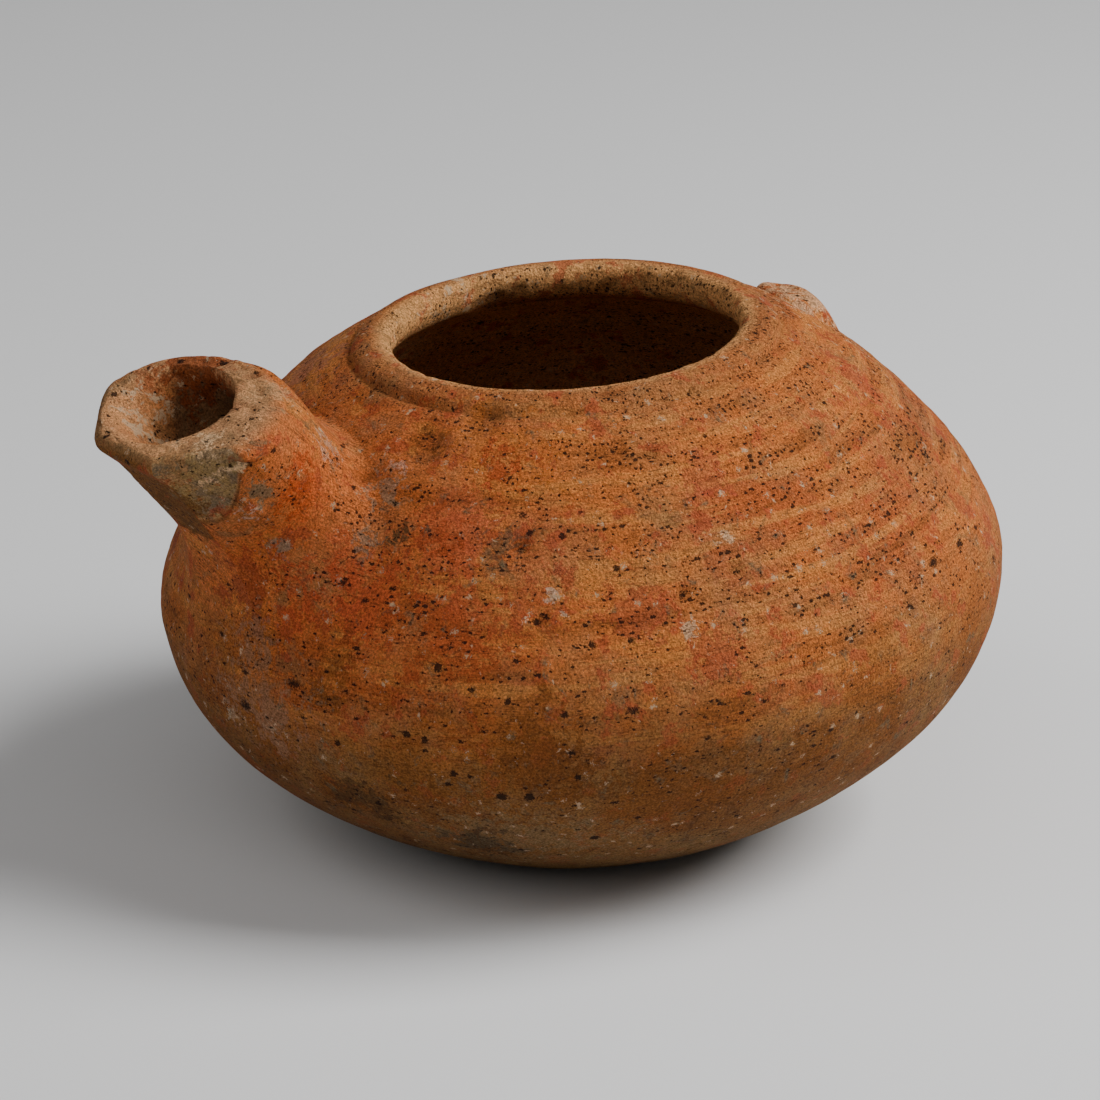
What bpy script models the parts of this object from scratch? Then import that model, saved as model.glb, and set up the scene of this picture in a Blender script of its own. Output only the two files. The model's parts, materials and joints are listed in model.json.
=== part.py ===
"""A small wheel-thrown oil lamp of fired terracotta, one hollow piece of pottery.

The lamp is built upright on the Z axis, with its nozzle at -Y and the root of its lost
handle at +Y. It is then leaned towards the nozzle, as it stands by its own weight, and its
underside is cut flat where it rests. Lengths are in metres and angles in degrees.
"""

import math

import bmesh
import bpy
from mathutils import Matrix, Vector
from mathutils.geometry import interpolate_bezier

# Body: heights are above the resting face, along the lamp's own axis
RIM_HEIGHT = 0.0515
BELLY_RADIUS = 0.0428
BELLY_HEIGHT = 0.0255
UNDERSIDE_CURVE_RADIUS = 0.052
UNDERSIDE_EDGE_ANGLE = 30.5
REST_RADIUS = 0.018
LEAN = 4.4
SHOULDER_START_ANGLE = 20.5
SHOULDER_FULLNESS = (0.38, 0.30)
UNDERBODY_FULLNESS = (0.56, 0.48)

# Walls
WALL = 0.0042
FLOOR = 0.0048
HOLE_RADIUS = 0.0174
HOLE_WALL_HEIGHT = 0.0034
VAULT_START_ANGLE = 22.0
VAULT_FULLNESS = (0.35, 0.30)
BOWL_FULLNESS = (0.72, 0.50)

# Collar round the filling hole, and the ridges that the potter's fingers left below it
COLLAR_RADIUS = 0.0216
CREST_RADIUS = 0.0187
COLLAR_HEIGHT = 0.0016
GROOVE_WIDTH = 0.0006
RIDGE_PITCH = 0.0034
RIDGE_HEIGHT = 0.0003
RIDGES = 4

# Nozzle: a stout tube that stands on the edge of the belly and flares to an oval mouth
TIP_REACH = 0.0080
TIP_DROP = 0.0008
MOUTH_REACH = 0.00805
MOUTH_HALF_WIDTH = 0.0136
MOUTH_HALF_LENGTH = 0.0095
MOUTH_TILT = 16.0
WAIST_HALF_WIDTH = 0.0110
WAIST_FRONT_LENGTH = 0.0116
WAIST_BACK_LENGTH = 0.0062
WAIST_PROUD = 0.0016
WAIST_BELOW_MOUTH = 0.0062
WAIST_TILT = 37.0
ROOT_HALF_WIDTH = 0.0174
ROOT_LOW_HEIGHT = 0.0270
ROOT_HIGH_RADIUS = 0.0262
ROOT_FILLET = 0.9

# Knife cuts under the lip: one in front, one at its right and a light one at its left
FRONT_CUT_TURN = 6.5
FRONT_CUT_UNDERCUT = 34.2
FRONT_CUT_DEPTH = 0.00187
RIGHT_CUT_TURN = 47.6
RIGHT_CUT_UNDERCUT = 22.9
RIGHT_CUT_DEPTH = 0.0020
LEFT_CUT_TURN = -37.2
LEFT_CUT_UNDERCUT = 31.0
LEFT_CUT_DEPTH = 0.0016

# The mouth's opening, which lies to the left of its middle, and the funnel and channel down to the oil
LIP_ROUNDING = 0.0008
OPENING_HALF_WIDTH = 0.0084
OPENING_HALF_LENGTH = 0.0064
OPENING_SHIFT = 0.0023
FUNNEL_DEPTH = 0.0080
CHANNEL_END_HALF_WIDTH = 0.0062
CHANNEL_END_HALF_LENGTH = 0.0056
CHANNEL_END_RADIUS = 0.0300

# Root of the lost handle: a low lump whose outer face is the break
STUB_HALF_WIDTH = 0.0054
STUB_INNER_RADIUS = 0.0238
STUB_OUTER_RADIUS = 0.0308
STUB_TOP_RADIUS = 0.0268
STUB_TOP_HALF_WIDTH = 0.0028
STUB_TOP_HALF_LENGTH = 0.0015
STUB_RISE = 0.0012
STUB_SWELL = 0.0006

# Mesh density
COLUMNS = 60
ROW_STEP = 0.0028
SHOULDER_ROW_STEP = 0.0016
VAULT_ROW_STEP = 0.0033
BOWL_ROW_STEP = 0.0054
PATCH_MARGIN = 0.0012
NOZZLE_ROOT_RINGS = 5
FLARE_RINGS = 4
CHANNEL_RINGS = 8
STUB_RINGS = 3

CLAY_COLOUR = (0.40, 0.15, 0.055, 1.0)
CLAY_ROUGHNESS = 0.9


def polar(radius, height, angle):
    """A point on the body from its radius, height and angle, 0 being the nozzle's side."""
    turn = math.radians(angle)
    return Vector((radius * math.sin(turn), -radius * math.cos(turn), height))


def curve(start, start_handle, end_handle, end, steps=60):
    """Points of a cubic curve in the profile's plane, as (radius, height)."""
    ends = [Vector((*point, 0.0)) for point in (start, start_handle, end_handle, end)]
    return [Vector((p.x, p.y)) for p in interpolate_bezier(*ends, steps)]


def spaced(points, step):
    """The same line with its points evenly spaced, about step apart."""
    lengths = [0.0]
    for before, after in zip(points, points[1:]):
        lengths.append(lengths[-1] + (after - before).length)
    count = max(2, round(lengths[-1] / step))
    result = []
    index = 0
    for number in range(count + 1):
        wanted = lengths[-1] * number / count
        while index < len(points) - 2 and lengths[index + 1] < wanted:
            index += 1
        span = lengths[index + 1] - lengths[index]
        share = (wanted - lengths[index]) / span
        result.append(points[index].lerp(points[index + 1], share))
    return result


def curve_centre_height():
    """Height of the centre of the underside's curve, which is also the lean's pivot."""
    return math.sqrt(UNDERSIDE_CURVE_RADIUS**2 - REST_RADIUS**2)


def underside_profile():
    """The shallow curve under the lamp, from its axis out to where the wall starts to rise."""
    edge = math.radians(UNDERSIDE_EDGE_ANGLE)
    arc = []
    for number in range(41):
        angle = edge * number / 40
        radius = UNDERSIDE_CURVE_RADIUS * math.sin(angle)
        arc.append(Vector((radius, curve_centre_height() - UNDERSIDE_CURVE_RADIUS * math.cos(angle))))
    return spaced(arc, 2 * ROW_STEP)


def underbody_profile(start):
    """The lower wall, from the underside's edge up to the belly."""
    slope = math.radians(UNDERSIDE_EDGE_ANGLE)
    run = UNDERBODY_FULLNESS[0] * (BELLY_RADIUS - start.x)
    rise = UNDERBODY_FULLNESS[1] * (BELLY_HEIGHT - start.y)
    start_handle = start + Vector((math.cos(slope), math.sin(slope))) * run
    end = Vector((BELLY_RADIUS, BELLY_HEIGHT))
    return spaced(curve(start, start_handle, end - Vector((0.0, rise)), end), ROW_STEP)


def shoulder_profile():
    """The upper wall, from the belly in to the groove under the collar, with its ridges."""
    groove = Vector((COLLAR_RADIUS + GROOVE_WIDTH, RIM_HEIGHT - COLLAR_HEIGHT))
    belly = Vector((BELLY_RADIUS, BELLY_HEIGHT))
    slope = math.radians(SHOULDER_START_ANGLE)
    run = SHOULDER_FULLNESS[0] * (belly.x - groove.x)
    rise = SHOULDER_FULLNESS[1] * (groove.y - belly.y)
    groove_handle = groove + Vector((math.cos(slope), -math.sin(slope))) * run
    line = spaced(curve(belly, belly + Vector((0.0, rise)), groove_handle, groove), SHOULDER_ROW_STEP)
    ridged = [line[0]]
    for before, point, after in zip(line, line[1:], line[2:]):
        along = (after - before).normalized()
        outward = Vector((along.y, -along.x))
        ridge = (point.x - groove.x) / RIDGE_PITCH
        fade = max(0.0, 1.0 - ridge / (RIDGES + 1))
        wave = 0.5 - 0.5 * math.cos(2 * math.pi * ridge)
        ridged.append(point + outward * RIDGE_HEIGHT * wave * fade)
    return ridged + [line[-1]]


def collar_profile():
    """The rounded collar, from the groove over the crest to the bottom of the hole's wall."""
    edge_radius = CREST_RADIUS - HOLE_RADIUS
    points = []
    for number in range(9):
        angle = math.pi * number / 8
        width = COLLAR_RADIUS - CREST_RADIUS if number < 4 else edge_radius
        height = COLLAR_HEIGHT if number < 4 else edge_radius
        across = width * math.cos(angle)
        drop = height * (1 - math.sin(angle))
        points.append(Vector((CREST_RADIUS + across, RIM_HEIGHT - drop)))
    return points + [Vector((HOLE_RADIUS, RIM_HEIGHT - HOLE_WALL_HEIGHT))]


def inner_profile(start):
    """The inside, from the bottom of the hole's wall out to the belly and in along the floor."""
    belly = Vector((BELLY_RADIUS - WALL, BELLY_HEIGHT))
    slope = math.radians(VAULT_START_ANGLE)
    run = VAULT_FULLNESS[0] * (belly.x - start.x)
    rise = VAULT_FULLNESS[1] * (start.y - belly.y)
    start_handle = start + Vector((math.cos(slope), -math.sin(slope))) * run
    vault = curve(start, start_handle, belly + Vector((0.0, rise)), belly)
    middle = Vector((0.0, FLOOR))
    drop = BOWL_FULLNESS[0] * (belly.y - FLOOR)
    run = BOWL_FULLNESS[1] * belly.x
    bowl = curve(belly, belly - Vector((0.0, drop)), middle + Vector((run, 0.0)), middle)
    return spaced(vault, VAULT_ROW_STEP)[1:] + spaced(bowl, BOWL_ROW_STEP)[1:]


class Patch:
    """A rectangle of a turned skin that is left open, for a ring to grow out of it."""

    def __init__(self, rows, column, half_columns, low_row, high_row):
        self.rows = rows
        self.column = column
        self.half_columns = half_columns
        self.low_row = low_row
        self.high_row = high_row

    def holds(self, column, row):
        """Whether a grid point lies inside the patch, and not on its edge."""
        offset = (column - self.column + COLUMNS // 2) % COLUMNS - COLUMNS // 2
        return abs(offset) < self.half_columns and self.low_row < row < self.high_row

    def covers(self, column, row):
        """Whether the grid face that starts at this point lies inside the patch."""
        offset = (column - self.column + COLUMNS // 2) % COLUMNS - COLUMNS // 2
        return -self.half_columns <= offset < self.half_columns and self.low_row <= row < self.high_row

    def edge(self):
        """The grid points round the patch, in order, as (column, row)."""
        left = self.column - self.half_columns
        right = self.column + self.half_columns
        low = [(column, self.low_row) for column in range(left, right)]
        up = [(right, row) for row in range(self.low_row, self.high_row)]
        high = [(column, self.high_row) for column in range(right, left, -1)]
        down = [(left, row) for row in range(self.high_row, self.low_row, -1)]
        return low + up + high + down

    def angles(self):
        """The direction of each edge point from the patch's middle, the patch taken as a square."""
        middle = (self.low_row + self.high_row) / 2
        half = (self.high_row - self.low_row) / 2
        found = []
        for column, row in self.edge():
            found.append(math.atan2((row - middle) / half, (column - self.column) / self.half_columns))
        return found

    def place(self, column, row):
        """The point of the skin at a column and row that may lie between the grid's."""
        index = min(max(int(row), 0), len(self.rows) - 2)
        spot = self.rows[index].lerp(self.rows[index + 1], row - index)
        return polar(spot.x, spot.y, column * 360 / COLUMNS)

    def oval(self, angle, half_width, low, high):
        """The (column, row) of an oval about the nozzle's or the stub's own middle."""
        middle = (low + high) / 2
        row = middle + (high - low) / 2 * math.sin(angle)
        radius = self.rows[min(int(middle), len(self.rows) - 1)].x
        half_columns = math.degrees(math.asin(half_width / radius)) * COLUMNS / 360
        return self.column + half_columns * math.cos(angle), row


def row_where(rows, first, last, test):
    """The place between two rows where test turns positive, as a row number with a fraction."""
    for index in range(first, last):
        here = test(rows[index])
        ahead = test(rows[index + 1])
        if here <= 0 < ahead:
            return index - here / (ahead - here)
    return float(last)


def blend(start, start_way, end, end_way, share):
    """A point of the smooth curve from start to end that leaves and arrives in given ways."""
    stretch = (end - start).length * ROOT_FILLET
    a = 2 * share**3 - 3 * share**2 + 1
    b = share**3 - 2 * share**2 + share
    c = -2 * share**3 + 3 * share**2
    d = share**3 - share**2
    return start * a + start_way * stretch * b + end * c + end_way * stretch * d


def section(centre, tilt, half_width, front_length, back_length, angle):
    """A point of an egg-shaped section that is tilted down towards the front of the nozzle."""
    turn = math.radians(tilt)
    back = Vector((0.0, math.cos(turn), math.sin(turn)))
    side = Vector((1.0, 0.0, 0.0))
    length = front_length if angle < 0 else back_length
    return centre + side * half_width * math.cos(angle) + back * length * math.sin(angle)


def mouth_front():
    """The way along the mouth's face towards the nozzle's tip."""
    tilt = math.radians(MOUTH_TILT)
    return Vector((0.0, -math.cos(tilt), -math.sin(tilt)))


def knife_cuts():
    """The three cuts under the lip, each as its outward way and its distance from the mouth's middle."""
    cuts = []
    for turn, undercut, depth in (
        (FRONT_CUT_TURN, FRONT_CUT_UNDERCUT, FRONT_CUT_DEPTH),
        (RIGHT_CUT_TURN, RIGHT_CUT_UNDERCUT, RIGHT_CUT_DEPTH),
        (LEFT_CUT_TURN, LEFT_CUT_UNDERCUT, LEFT_CUT_DEPTH),
    ):
        turn = math.radians(turn)
        undercut = math.radians(undercut)
        way = Vector((math.sin(turn), -math.cos(turn), 0.0)) * math.cos(undercut)
        way.z = -math.sin(undercut)
        uncut = math.hypot(way.x * MOUTH_HALF_WIDTH, way.dot(mouth_front()) * MOUTH_HALF_LENGTH)
        cuts.append((way, uncut - depth))
    return cuts


def mouth_centre():
    """The middle of the uncut mouth, worked back from the nozzle's tip."""
    tip = Vector((0.0, -BELLY_RADIUS - TIP_REACH, RIM_HEIGHT - TIP_DROP))
    return tip - mouth_front() * MOUTH_REACH


def pared(point, centre, middle, cuts):
    """The point drawn in towards its section's centre until it is inside every cut."""
    share = 1.0
    for way, distance in cuts:
        out = (point - centre).dot(way)
        room = distance - (centre - middle).dot(way)
        if out > room > 0:
            share = min(share, room / out)
    return centre.lerp(point, share)


def add_ring(mesh, points):
    return [mesh.verts.new(point) for point in points]


def join_rings(mesh, ring, other):
    """Faces between two closed rings of as many points."""
    for index in range(len(ring)):
        after = (index + 1) % len(ring)
        mesh.faces.new((ring[index], ring[after], other[after], other[index]))


def close_ring(mesh, ring, point):
    """A fan of faces from a closed ring to one point."""
    centre = mesh.verts.new(point)
    for index in range(len(ring)):
        mesh.faces.new((ring[index], ring[(index + 1) % len(ring)], centre))


def zip_rings(mesh, ring, ring_angles, other, other_angles):
    """Triangles between two closed rings that hold different numbers of points."""
    first = sorted(zip([angle % math.tau for angle in ring_angles], range(len(ring))))
    second = sorted(zip([angle % math.tau for angle in other_angles], range(len(other))))
    i = 0
    j = 0
    while i < len(first) or j < len(second):
        a = ring[first[i % len(first)][1]]
        b = other[second[j % len(second)][1]]
        ahead_a = first[(i + 1) % len(first)][0] + math.tau * ((i + 1) // len(first))
        ahead_b = second[(j + 1) % len(second)][0] + math.tau * ((j + 1) // len(second))
        if j >= len(second) or (i < len(first) and ahead_a <= ahead_b):
            mesh.faces.new((a, ring[first[(i + 1) % len(first)][1]], b))
            i += 1
        else:
            mesh.faces.new((a, other[second[(j + 1) % len(second)][1]], b))
            j += 1


def turn_skin(mesh, rows, patches):
    """The whole turned body, outside and inside, as one grid that leaves the patches open."""
    grid = {}
    for row, spot in enumerate(rows[1:-1], start=1):
        for column in range(COLUMNS):
            if not any(patch.holds(column, row) for patch in patches):
                place = polar(spot.x, spot.y, column * 360 / COLUMNS)
                grid[column, row] = mesh.verts.new(place)
    for row in range(1, len(rows) - 2):
        for column in range(COLUMNS):
            if not any(patch.covers(column, row) for patch in patches):
                after = (column + 1) % COLUMNS
                corners = ((column, row), (after, row), (after, row + 1), (column, row + 1))
                mesh.faces.new([grid[corner] for corner in corners])
    for row, pole in ((1, rows[0]), (len(rows) - 2, rows[-1])):
        close_ring(mesh, [grid[column, row] for column in range(COLUMNS)], Vector((0.0, 0.0, pole.y)))
    return grid


def edge_ring(grid, patch):
    return [grid[column % COLUMNS, row] for column, row in patch.edge()]


def grow_to_oval(mesh, grid, patch, half_width, low, high, steps):
    """Rings on the skin itself, from a patch's square edge to the oval that its feature grows from."""
    ring = edge_ring(grid, patch)
    angles = patch.angles()
    for step in range(1, steps + 1):
        points = []
        for (column, row), angle in zip(patch.edge(), angles):
            oval_column, oval_row = patch.oval(angle, half_width, low, high)
            share = step / steps
            new_column = column + (oval_column - column) * share
            points.append(patch.place(new_column, row + (oval_row - row) * share))
        inner = add_ring(mesh, points)
        join_rings(mesh, ring, inner)
        ring = inner
    return ring, points


def inward_ways(patch, half_width, low, high):
    """For each point of a patch's oval, the way along the skin towards the oval's middle."""
    inset = (high - low) / 20
    ways = []
    for angle in patch.angles():
        here = patch.place(*patch.oval(angle, half_width, low, high))
        inside = patch.place(*patch.oval(angle, half_width * 9 / 10, low + inset, high - inset))
        ways.append((inside - here).normalized())
    return ways


def add_nozzle(mesh, grid, patch, low, high, inner_patch, inner_low, inner_high):
    """The nozzle's outside, its pared lip and the channel down to the inner skin."""
    ring, root = grow_to_oval(mesh, grid, patch, ROOT_HALF_WIDTH, low, high, 2)
    ways = inward_ways(patch, ROOT_HALF_WIDTH, low, high)
    angles = patch.angles()
    cuts = knife_cuts()
    middle = mouth_centre()
    waist_turn = math.radians(WAIST_TILT)
    waist_y = WAIST_FRONT_LENGTH * math.cos(waist_turn) - BELLY_RADIUS - WAIST_PROUD
    waist = Vector((0.0, waist_y, middle.z - WAIST_BELOW_MOUTH))

    def between(share, angle):
        """A point of the flare, from the waist at 0 to the mouth at 1."""
        centre = waist.lerp(middle, share)
        tilt = WAIST_TILT + (MOUTH_TILT - WAIST_TILT) * share
        half_width = WAIST_HALF_WIDTH + (MOUTH_HALF_WIDTH - WAIST_HALF_WIDTH) * share
        front = WAIST_FRONT_LENGTH + (MOUTH_HALF_LENGTH - WAIST_FRONT_LENGTH) * share
        back = WAIST_BACK_LENGTH + (MOUTH_HALF_LENGTH - WAIST_BACK_LENGTH) * share
        return pared(section(centre, tilt, half_width, front, back, angle), centre, middle, cuts)

    waist_points = [between(0.0, angle) for angle in angles]
    up = [(between(1 / FLARE_RINGS, angle) - between(0.0, angle)).normalized() for angle in angles]
    for step in range(1, NOZZLE_ROOT_RINGS + 1):
        points = []
        for start, way, end, end_way in zip(root, ways, waist_points, up):
            points.append(blend(start, way, end, end_way, step / NOZZLE_ROOT_RINGS))
        outer = add_ring(mesh, points)
        join_rings(mesh, ring, outer)
        ring = outer
    for step in range(1, FLARE_RINGS):
        outer = add_ring(mesh, [between(step / FLARE_RINGS, angle) for angle in angles])
        join_rings(mesh, ring, outer)
        ring = outer

    tilt = math.radians(MOUTH_TILT)
    upward = Vector((0.0, -math.sin(tilt), math.cos(tilt)))
    outline = [between(1.0, angle) for angle in angles]
    rounding = LIP_ROUNDING / MOUTH_HALF_LENGTH
    for turn in (0, math.pi / 4, math.pi / 2):
        inset = rounding * (1 - math.cos(turn))
        drop = upward * LIP_ROUNDING * (1 - math.sin(turn))
        outer = add_ring(mesh, [point.lerp(middle, inset) - drop for point in outline])
        join_rings(mesh, ring, outer)
        ring = outer
    lip = [point.lerp(middle, rounding) for point in outline]
    opening_middle = middle - Vector((OPENING_SHIFT, 0.0, 0.0))
    opening = []
    for angle in angles:
        length = OPENING_HALF_LENGTH
        opening.append(section(opening_middle, MOUTH_TILT, OPENING_HALF_WIDTH, length, length, angle))
    for share in (1 / 2, 1):
        outer = add_ring(mesh, [point.lerp(edge, share) for point, edge in zip(lip, opening)])
        join_rings(mesh, ring, outer)
        ring = outer

    end_points = []
    for angle in angles:
        place = inner_patch.oval(-angle, CHANNEL_END_HALF_WIDTH, inner_low, inner_high)
        end_points.append(inner_patch.place(*place))
    end_middle = sum(end_points, Vector()) / len(end_points)
    down = (end_middle - middle).normalized()
    throat = middle + down * FUNNEL_DEPTH
    for step in range(1, CHANNEL_RINGS + 1):
        points = []
        for start, end in zip(opening, end_points):
            inward = (throat - start).normalized()
            points.append(blend(start, inward, end, down, step / CHANNEL_RINGS))
        outer = add_ring(mesh, points)
        join_rings(mesh, ring, outer)
        ring = outer
    turned_angles = [-angle for angle in angles]
    zip_rings(mesh, ring, turned_angles, edge_ring(grid, inner_patch), inner_patch.angles())


def add_stub(mesh, grid, patch, low, high):
    """The root of the lost handle, from the shoulder up to the break."""
    ring, root = grow_to_oval(mesh, grid, patch, STUB_HALF_WIDTH, low, high, 1)
    row = row_where(patch.rows, patch.low_row, patch.high_row, lambda spot: STUB_TOP_RADIUS - spot.x)
    top = patch.place(patch.column, row) + Vector((0.0, 0.0, STUB_RISE))
    crown = []
    for angle in patch.angles():
        across = -STUB_TOP_HALF_WIDTH * math.cos(angle)
        crown.append(top + Vector((across, -STUB_TOP_HALF_LENGTH * math.sin(angle), 0.0)))
    for step in range(1, STUB_RINGS + 1):
        share = step / STUB_RINGS
        swell = Vector((0.0, 0.0, STUB_SWELL * math.sin(math.pi * share)))
        outer = add_ring(mesh, [start.lerp(end, share) + swell for start, end in zip(root, crown)])
        join_rings(mesh, ring, outer)
        ring = outer
    close_ring(mesh, ring, top)


def cut_flat(mesh):
    """The underside is taken off level with the ground, and the cut is closed."""
    geometry = mesh.verts[:] + mesh.edges[:] + mesh.faces[:]
    bmesh.ops.bisect_plane(
        mesh, geom=geometry, dist=1e-6, plane_co=(0, 0, 0), plane_no=(0, 0, 1), clear_inner=True
    )
    rim = [edge for edge in mesh.edges if edge.is_boundary]
    for edge in rim:
        edge.smooth = False
    bmesh.ops.contextual_create(mesh, geom=rim)


def clay_material():
    material = bpy.data.materials.new("terracotta")
    material.use_nodes = True
    shader = material.node_tree.nodes["Principled BSDF"]
    shader.inputs["Base Color"].default_value = CLAY_COLOUR
    shader.inputs["Roughness"].default_value = CLAY_ROUGHNESS
    shader.inputs["Metallic"].default_value = 0.0
    return material


def patch_columns(half_width, radius):
    """How many columns to each side a patch needs to hold a feature of this half-width."""
    return math.ceil(math.degrees(math.asin((half_width + PATCH_MARGIN) / radius)) * COLUMNS / 360)


def build_lamp():
    underside = underside_profile()
    outer = underside + underbody_profile(underside[-1])[1:] + shoulder_profile()[1:]
    collar = collar_profile()
    rows = outer + collar + inner_profile(collar[-1])
    last_outer = len(outer) - 1
    first_inner = len(outer) + len(collar)
    belly_row = next(row for row, spot in enumerate(rows) if spot.x >= BELLY_RADIUS - 1e-6)

    low = row_where(rows, 0, last_outer, lambda spot: spot.y - ROOT_LOW_HEIGHT)
    high = row_where(rows, belly_row, last_outer, lambda spot: ROOT_HIGH_RADIUS - spot.x)
    margin = PATCH_MARGIN / SHOULDER_ROW_STEP
    columns = patch_columns(ROOT_HALF_WIDTH, rows[int((low + high) / 2)].x)
    nozzle_patch = Patch(rows, 0, columns, math.floor(low - margin), math.ceil(high + margin))

    stub_low = row_where(rows, belly_row, last_outer, lambda spot: STUB_OUTER_RADIUS - spot.x)
    stub_high = row_where(rows, belly_row, last_outer, lambda spot: STUB_INNER_RADIUS - spot.x)
    columns = patch_columns(STUB_HALF_WIDTH, STUB_TOP_RADIUS)
    stub_patch = Patch(rows, COLUMNS // 2, columns, math.floor(stub_low), math.ceil(stub_high))

    end_middle = row_where(rows, first_inner, len(rows) - 2, lambda spot: spot.x - CHANNEL_END_RADIUS)
    half_rows = CHANNEL_END_HALF_LENGTH / VAULT_ROW_STEP
    end_low = end_middle - half_rows
    end_high = end_middle + half_rows
    columns = patch_columns(CHANNEL_END_HALF_WIDTH, CHANNEL_END_RADIUS)
    inner_patch = Patch(rows, 0, columns, math.floor(end_low), math.ceil(end_high))

    mesh = bmesh.new()
    grid = turn_skin(mesh, rows, (nozzle_patch, stub_patch, inner_patch))
    add_nozzle(mesh, grid, nozzle_patch, low, high, inner_patch, end_low, end_high)
    add_stub(mesh, grid, stub_patch, stub_low, stub_high)

    pivot = Vector((0.0, 0.0, curve_centre_height()))
    lean = Matrix.Rotation(math.radians(LEAN), 3, "X")
    bmesh.ops.rotate(mesh, verts=mesh.verts[:], cent=pivot, matrix=lean)
    cut_flat(mesh)
    bmesh.ops.recalc_face_normals(mesh, faces=mesh.faces[:])

    data = bpy.data.meshes.new("lamp")
    mesh.to_mesh(data)
    mesh.free()
    data.shade_smooth()
    data.materials.append(clay_material())
    lamp = bpy.data.objects.new("lamp", data)
    bpy.context.scene.collection.objects.link(lamp)


for thing in list(bpy.data.objects):
    bpy.data.objects.remove(thing, do_unlink=True)
build_lamp()
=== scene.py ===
"""A small wheel-thrown terracotta oil lamp, weathered in the ground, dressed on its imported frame."""

import json
import math
from dataclasses import dataclass

import bmesh
import bpy
from mathutils import Matrix, Vector
from mathutils.geometry import interpolate_bezier

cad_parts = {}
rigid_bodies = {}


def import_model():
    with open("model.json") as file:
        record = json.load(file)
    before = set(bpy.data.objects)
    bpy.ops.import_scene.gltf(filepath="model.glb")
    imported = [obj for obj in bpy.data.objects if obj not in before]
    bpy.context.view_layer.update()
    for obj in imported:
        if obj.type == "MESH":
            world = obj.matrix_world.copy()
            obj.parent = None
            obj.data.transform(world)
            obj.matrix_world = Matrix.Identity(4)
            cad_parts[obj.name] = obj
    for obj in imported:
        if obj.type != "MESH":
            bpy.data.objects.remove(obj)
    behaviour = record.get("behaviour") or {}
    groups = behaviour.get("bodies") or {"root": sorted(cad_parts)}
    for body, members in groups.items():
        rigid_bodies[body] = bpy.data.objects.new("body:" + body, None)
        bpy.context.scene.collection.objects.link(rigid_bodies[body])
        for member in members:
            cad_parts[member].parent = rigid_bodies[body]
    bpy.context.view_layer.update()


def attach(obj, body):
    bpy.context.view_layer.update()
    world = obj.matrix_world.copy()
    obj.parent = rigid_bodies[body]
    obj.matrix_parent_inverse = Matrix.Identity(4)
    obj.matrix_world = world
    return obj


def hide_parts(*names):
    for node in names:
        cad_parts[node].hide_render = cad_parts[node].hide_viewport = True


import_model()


# The body: a round-bellied vessel of iron-rich clay, thrown in one piece on a wheel and drawn in
# to a wide hole with a rolled collar. It is made here upright, as it came off the wheel, with the
# nozzle at -Y, and is only leaned and worn flat once the whole lamp is together.

RIM_HEIGHT = 0.0515
CREST_RADIUS = 0.0187
HOLE_RADIUS = 0.0174
HOLE_WALL_HEIGHT = 0.0034
COLLAR_RADIUS = 0.0216
COLLAR_HEIGHT = 0.0016
GROOVE_RADIUS = 0.0222
SHOULDER_START_ANGLE = 20.5
BELLY_RADIUS = 0.0428
BELLY_HEIGHT = 0.0255
UNDERSIDE_CURVE_RADIUS = 0.052
UNDERSIDE_EDGE_ANGLE = 30.5
REST_RADIUS = 0.018
WALL = 0.0042
FLOOR = 0.0048
LEAN = 4.4
VAULT_START_ANGLE = 22.0

OUTER_TURNS = 420
INNER_TURNS = 140
OUTER_STEP = 0.00064
UNDERSIDE_STEP = 0.0011
INNER_STEP = 0.0017
CURVE_POINTS = 90
UNDERSIDE_POINTS = 60
COLLAR_POINTS = 32

# How far the handles of the profile's curves reach, as shares of each curve's width or height
UNDERSIDE_PULL = 0.56
LOW_BELLY_PULL = 0.48
HIGH_BELLY_PULL = 0.30
SHOULDER_PULL = 0.38
VAULT_PULL = 0.35
BOWL_PULL = 0.72
FLOOR_PULL = 0.5

# The foot of the hole's wall: how far out and down it ends, the height of the wall being 1 down
FOOT_OUT = 0.0020
FOOT_DOWN = 1.24

# Room between a window's edge and the oval inside it
WINDOW_MARGIN = 0.0012

pivot_height = math.sqrt(UNDERSIDE_CURVE_RADIUS**2 - REST_RADIUS**2)


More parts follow.
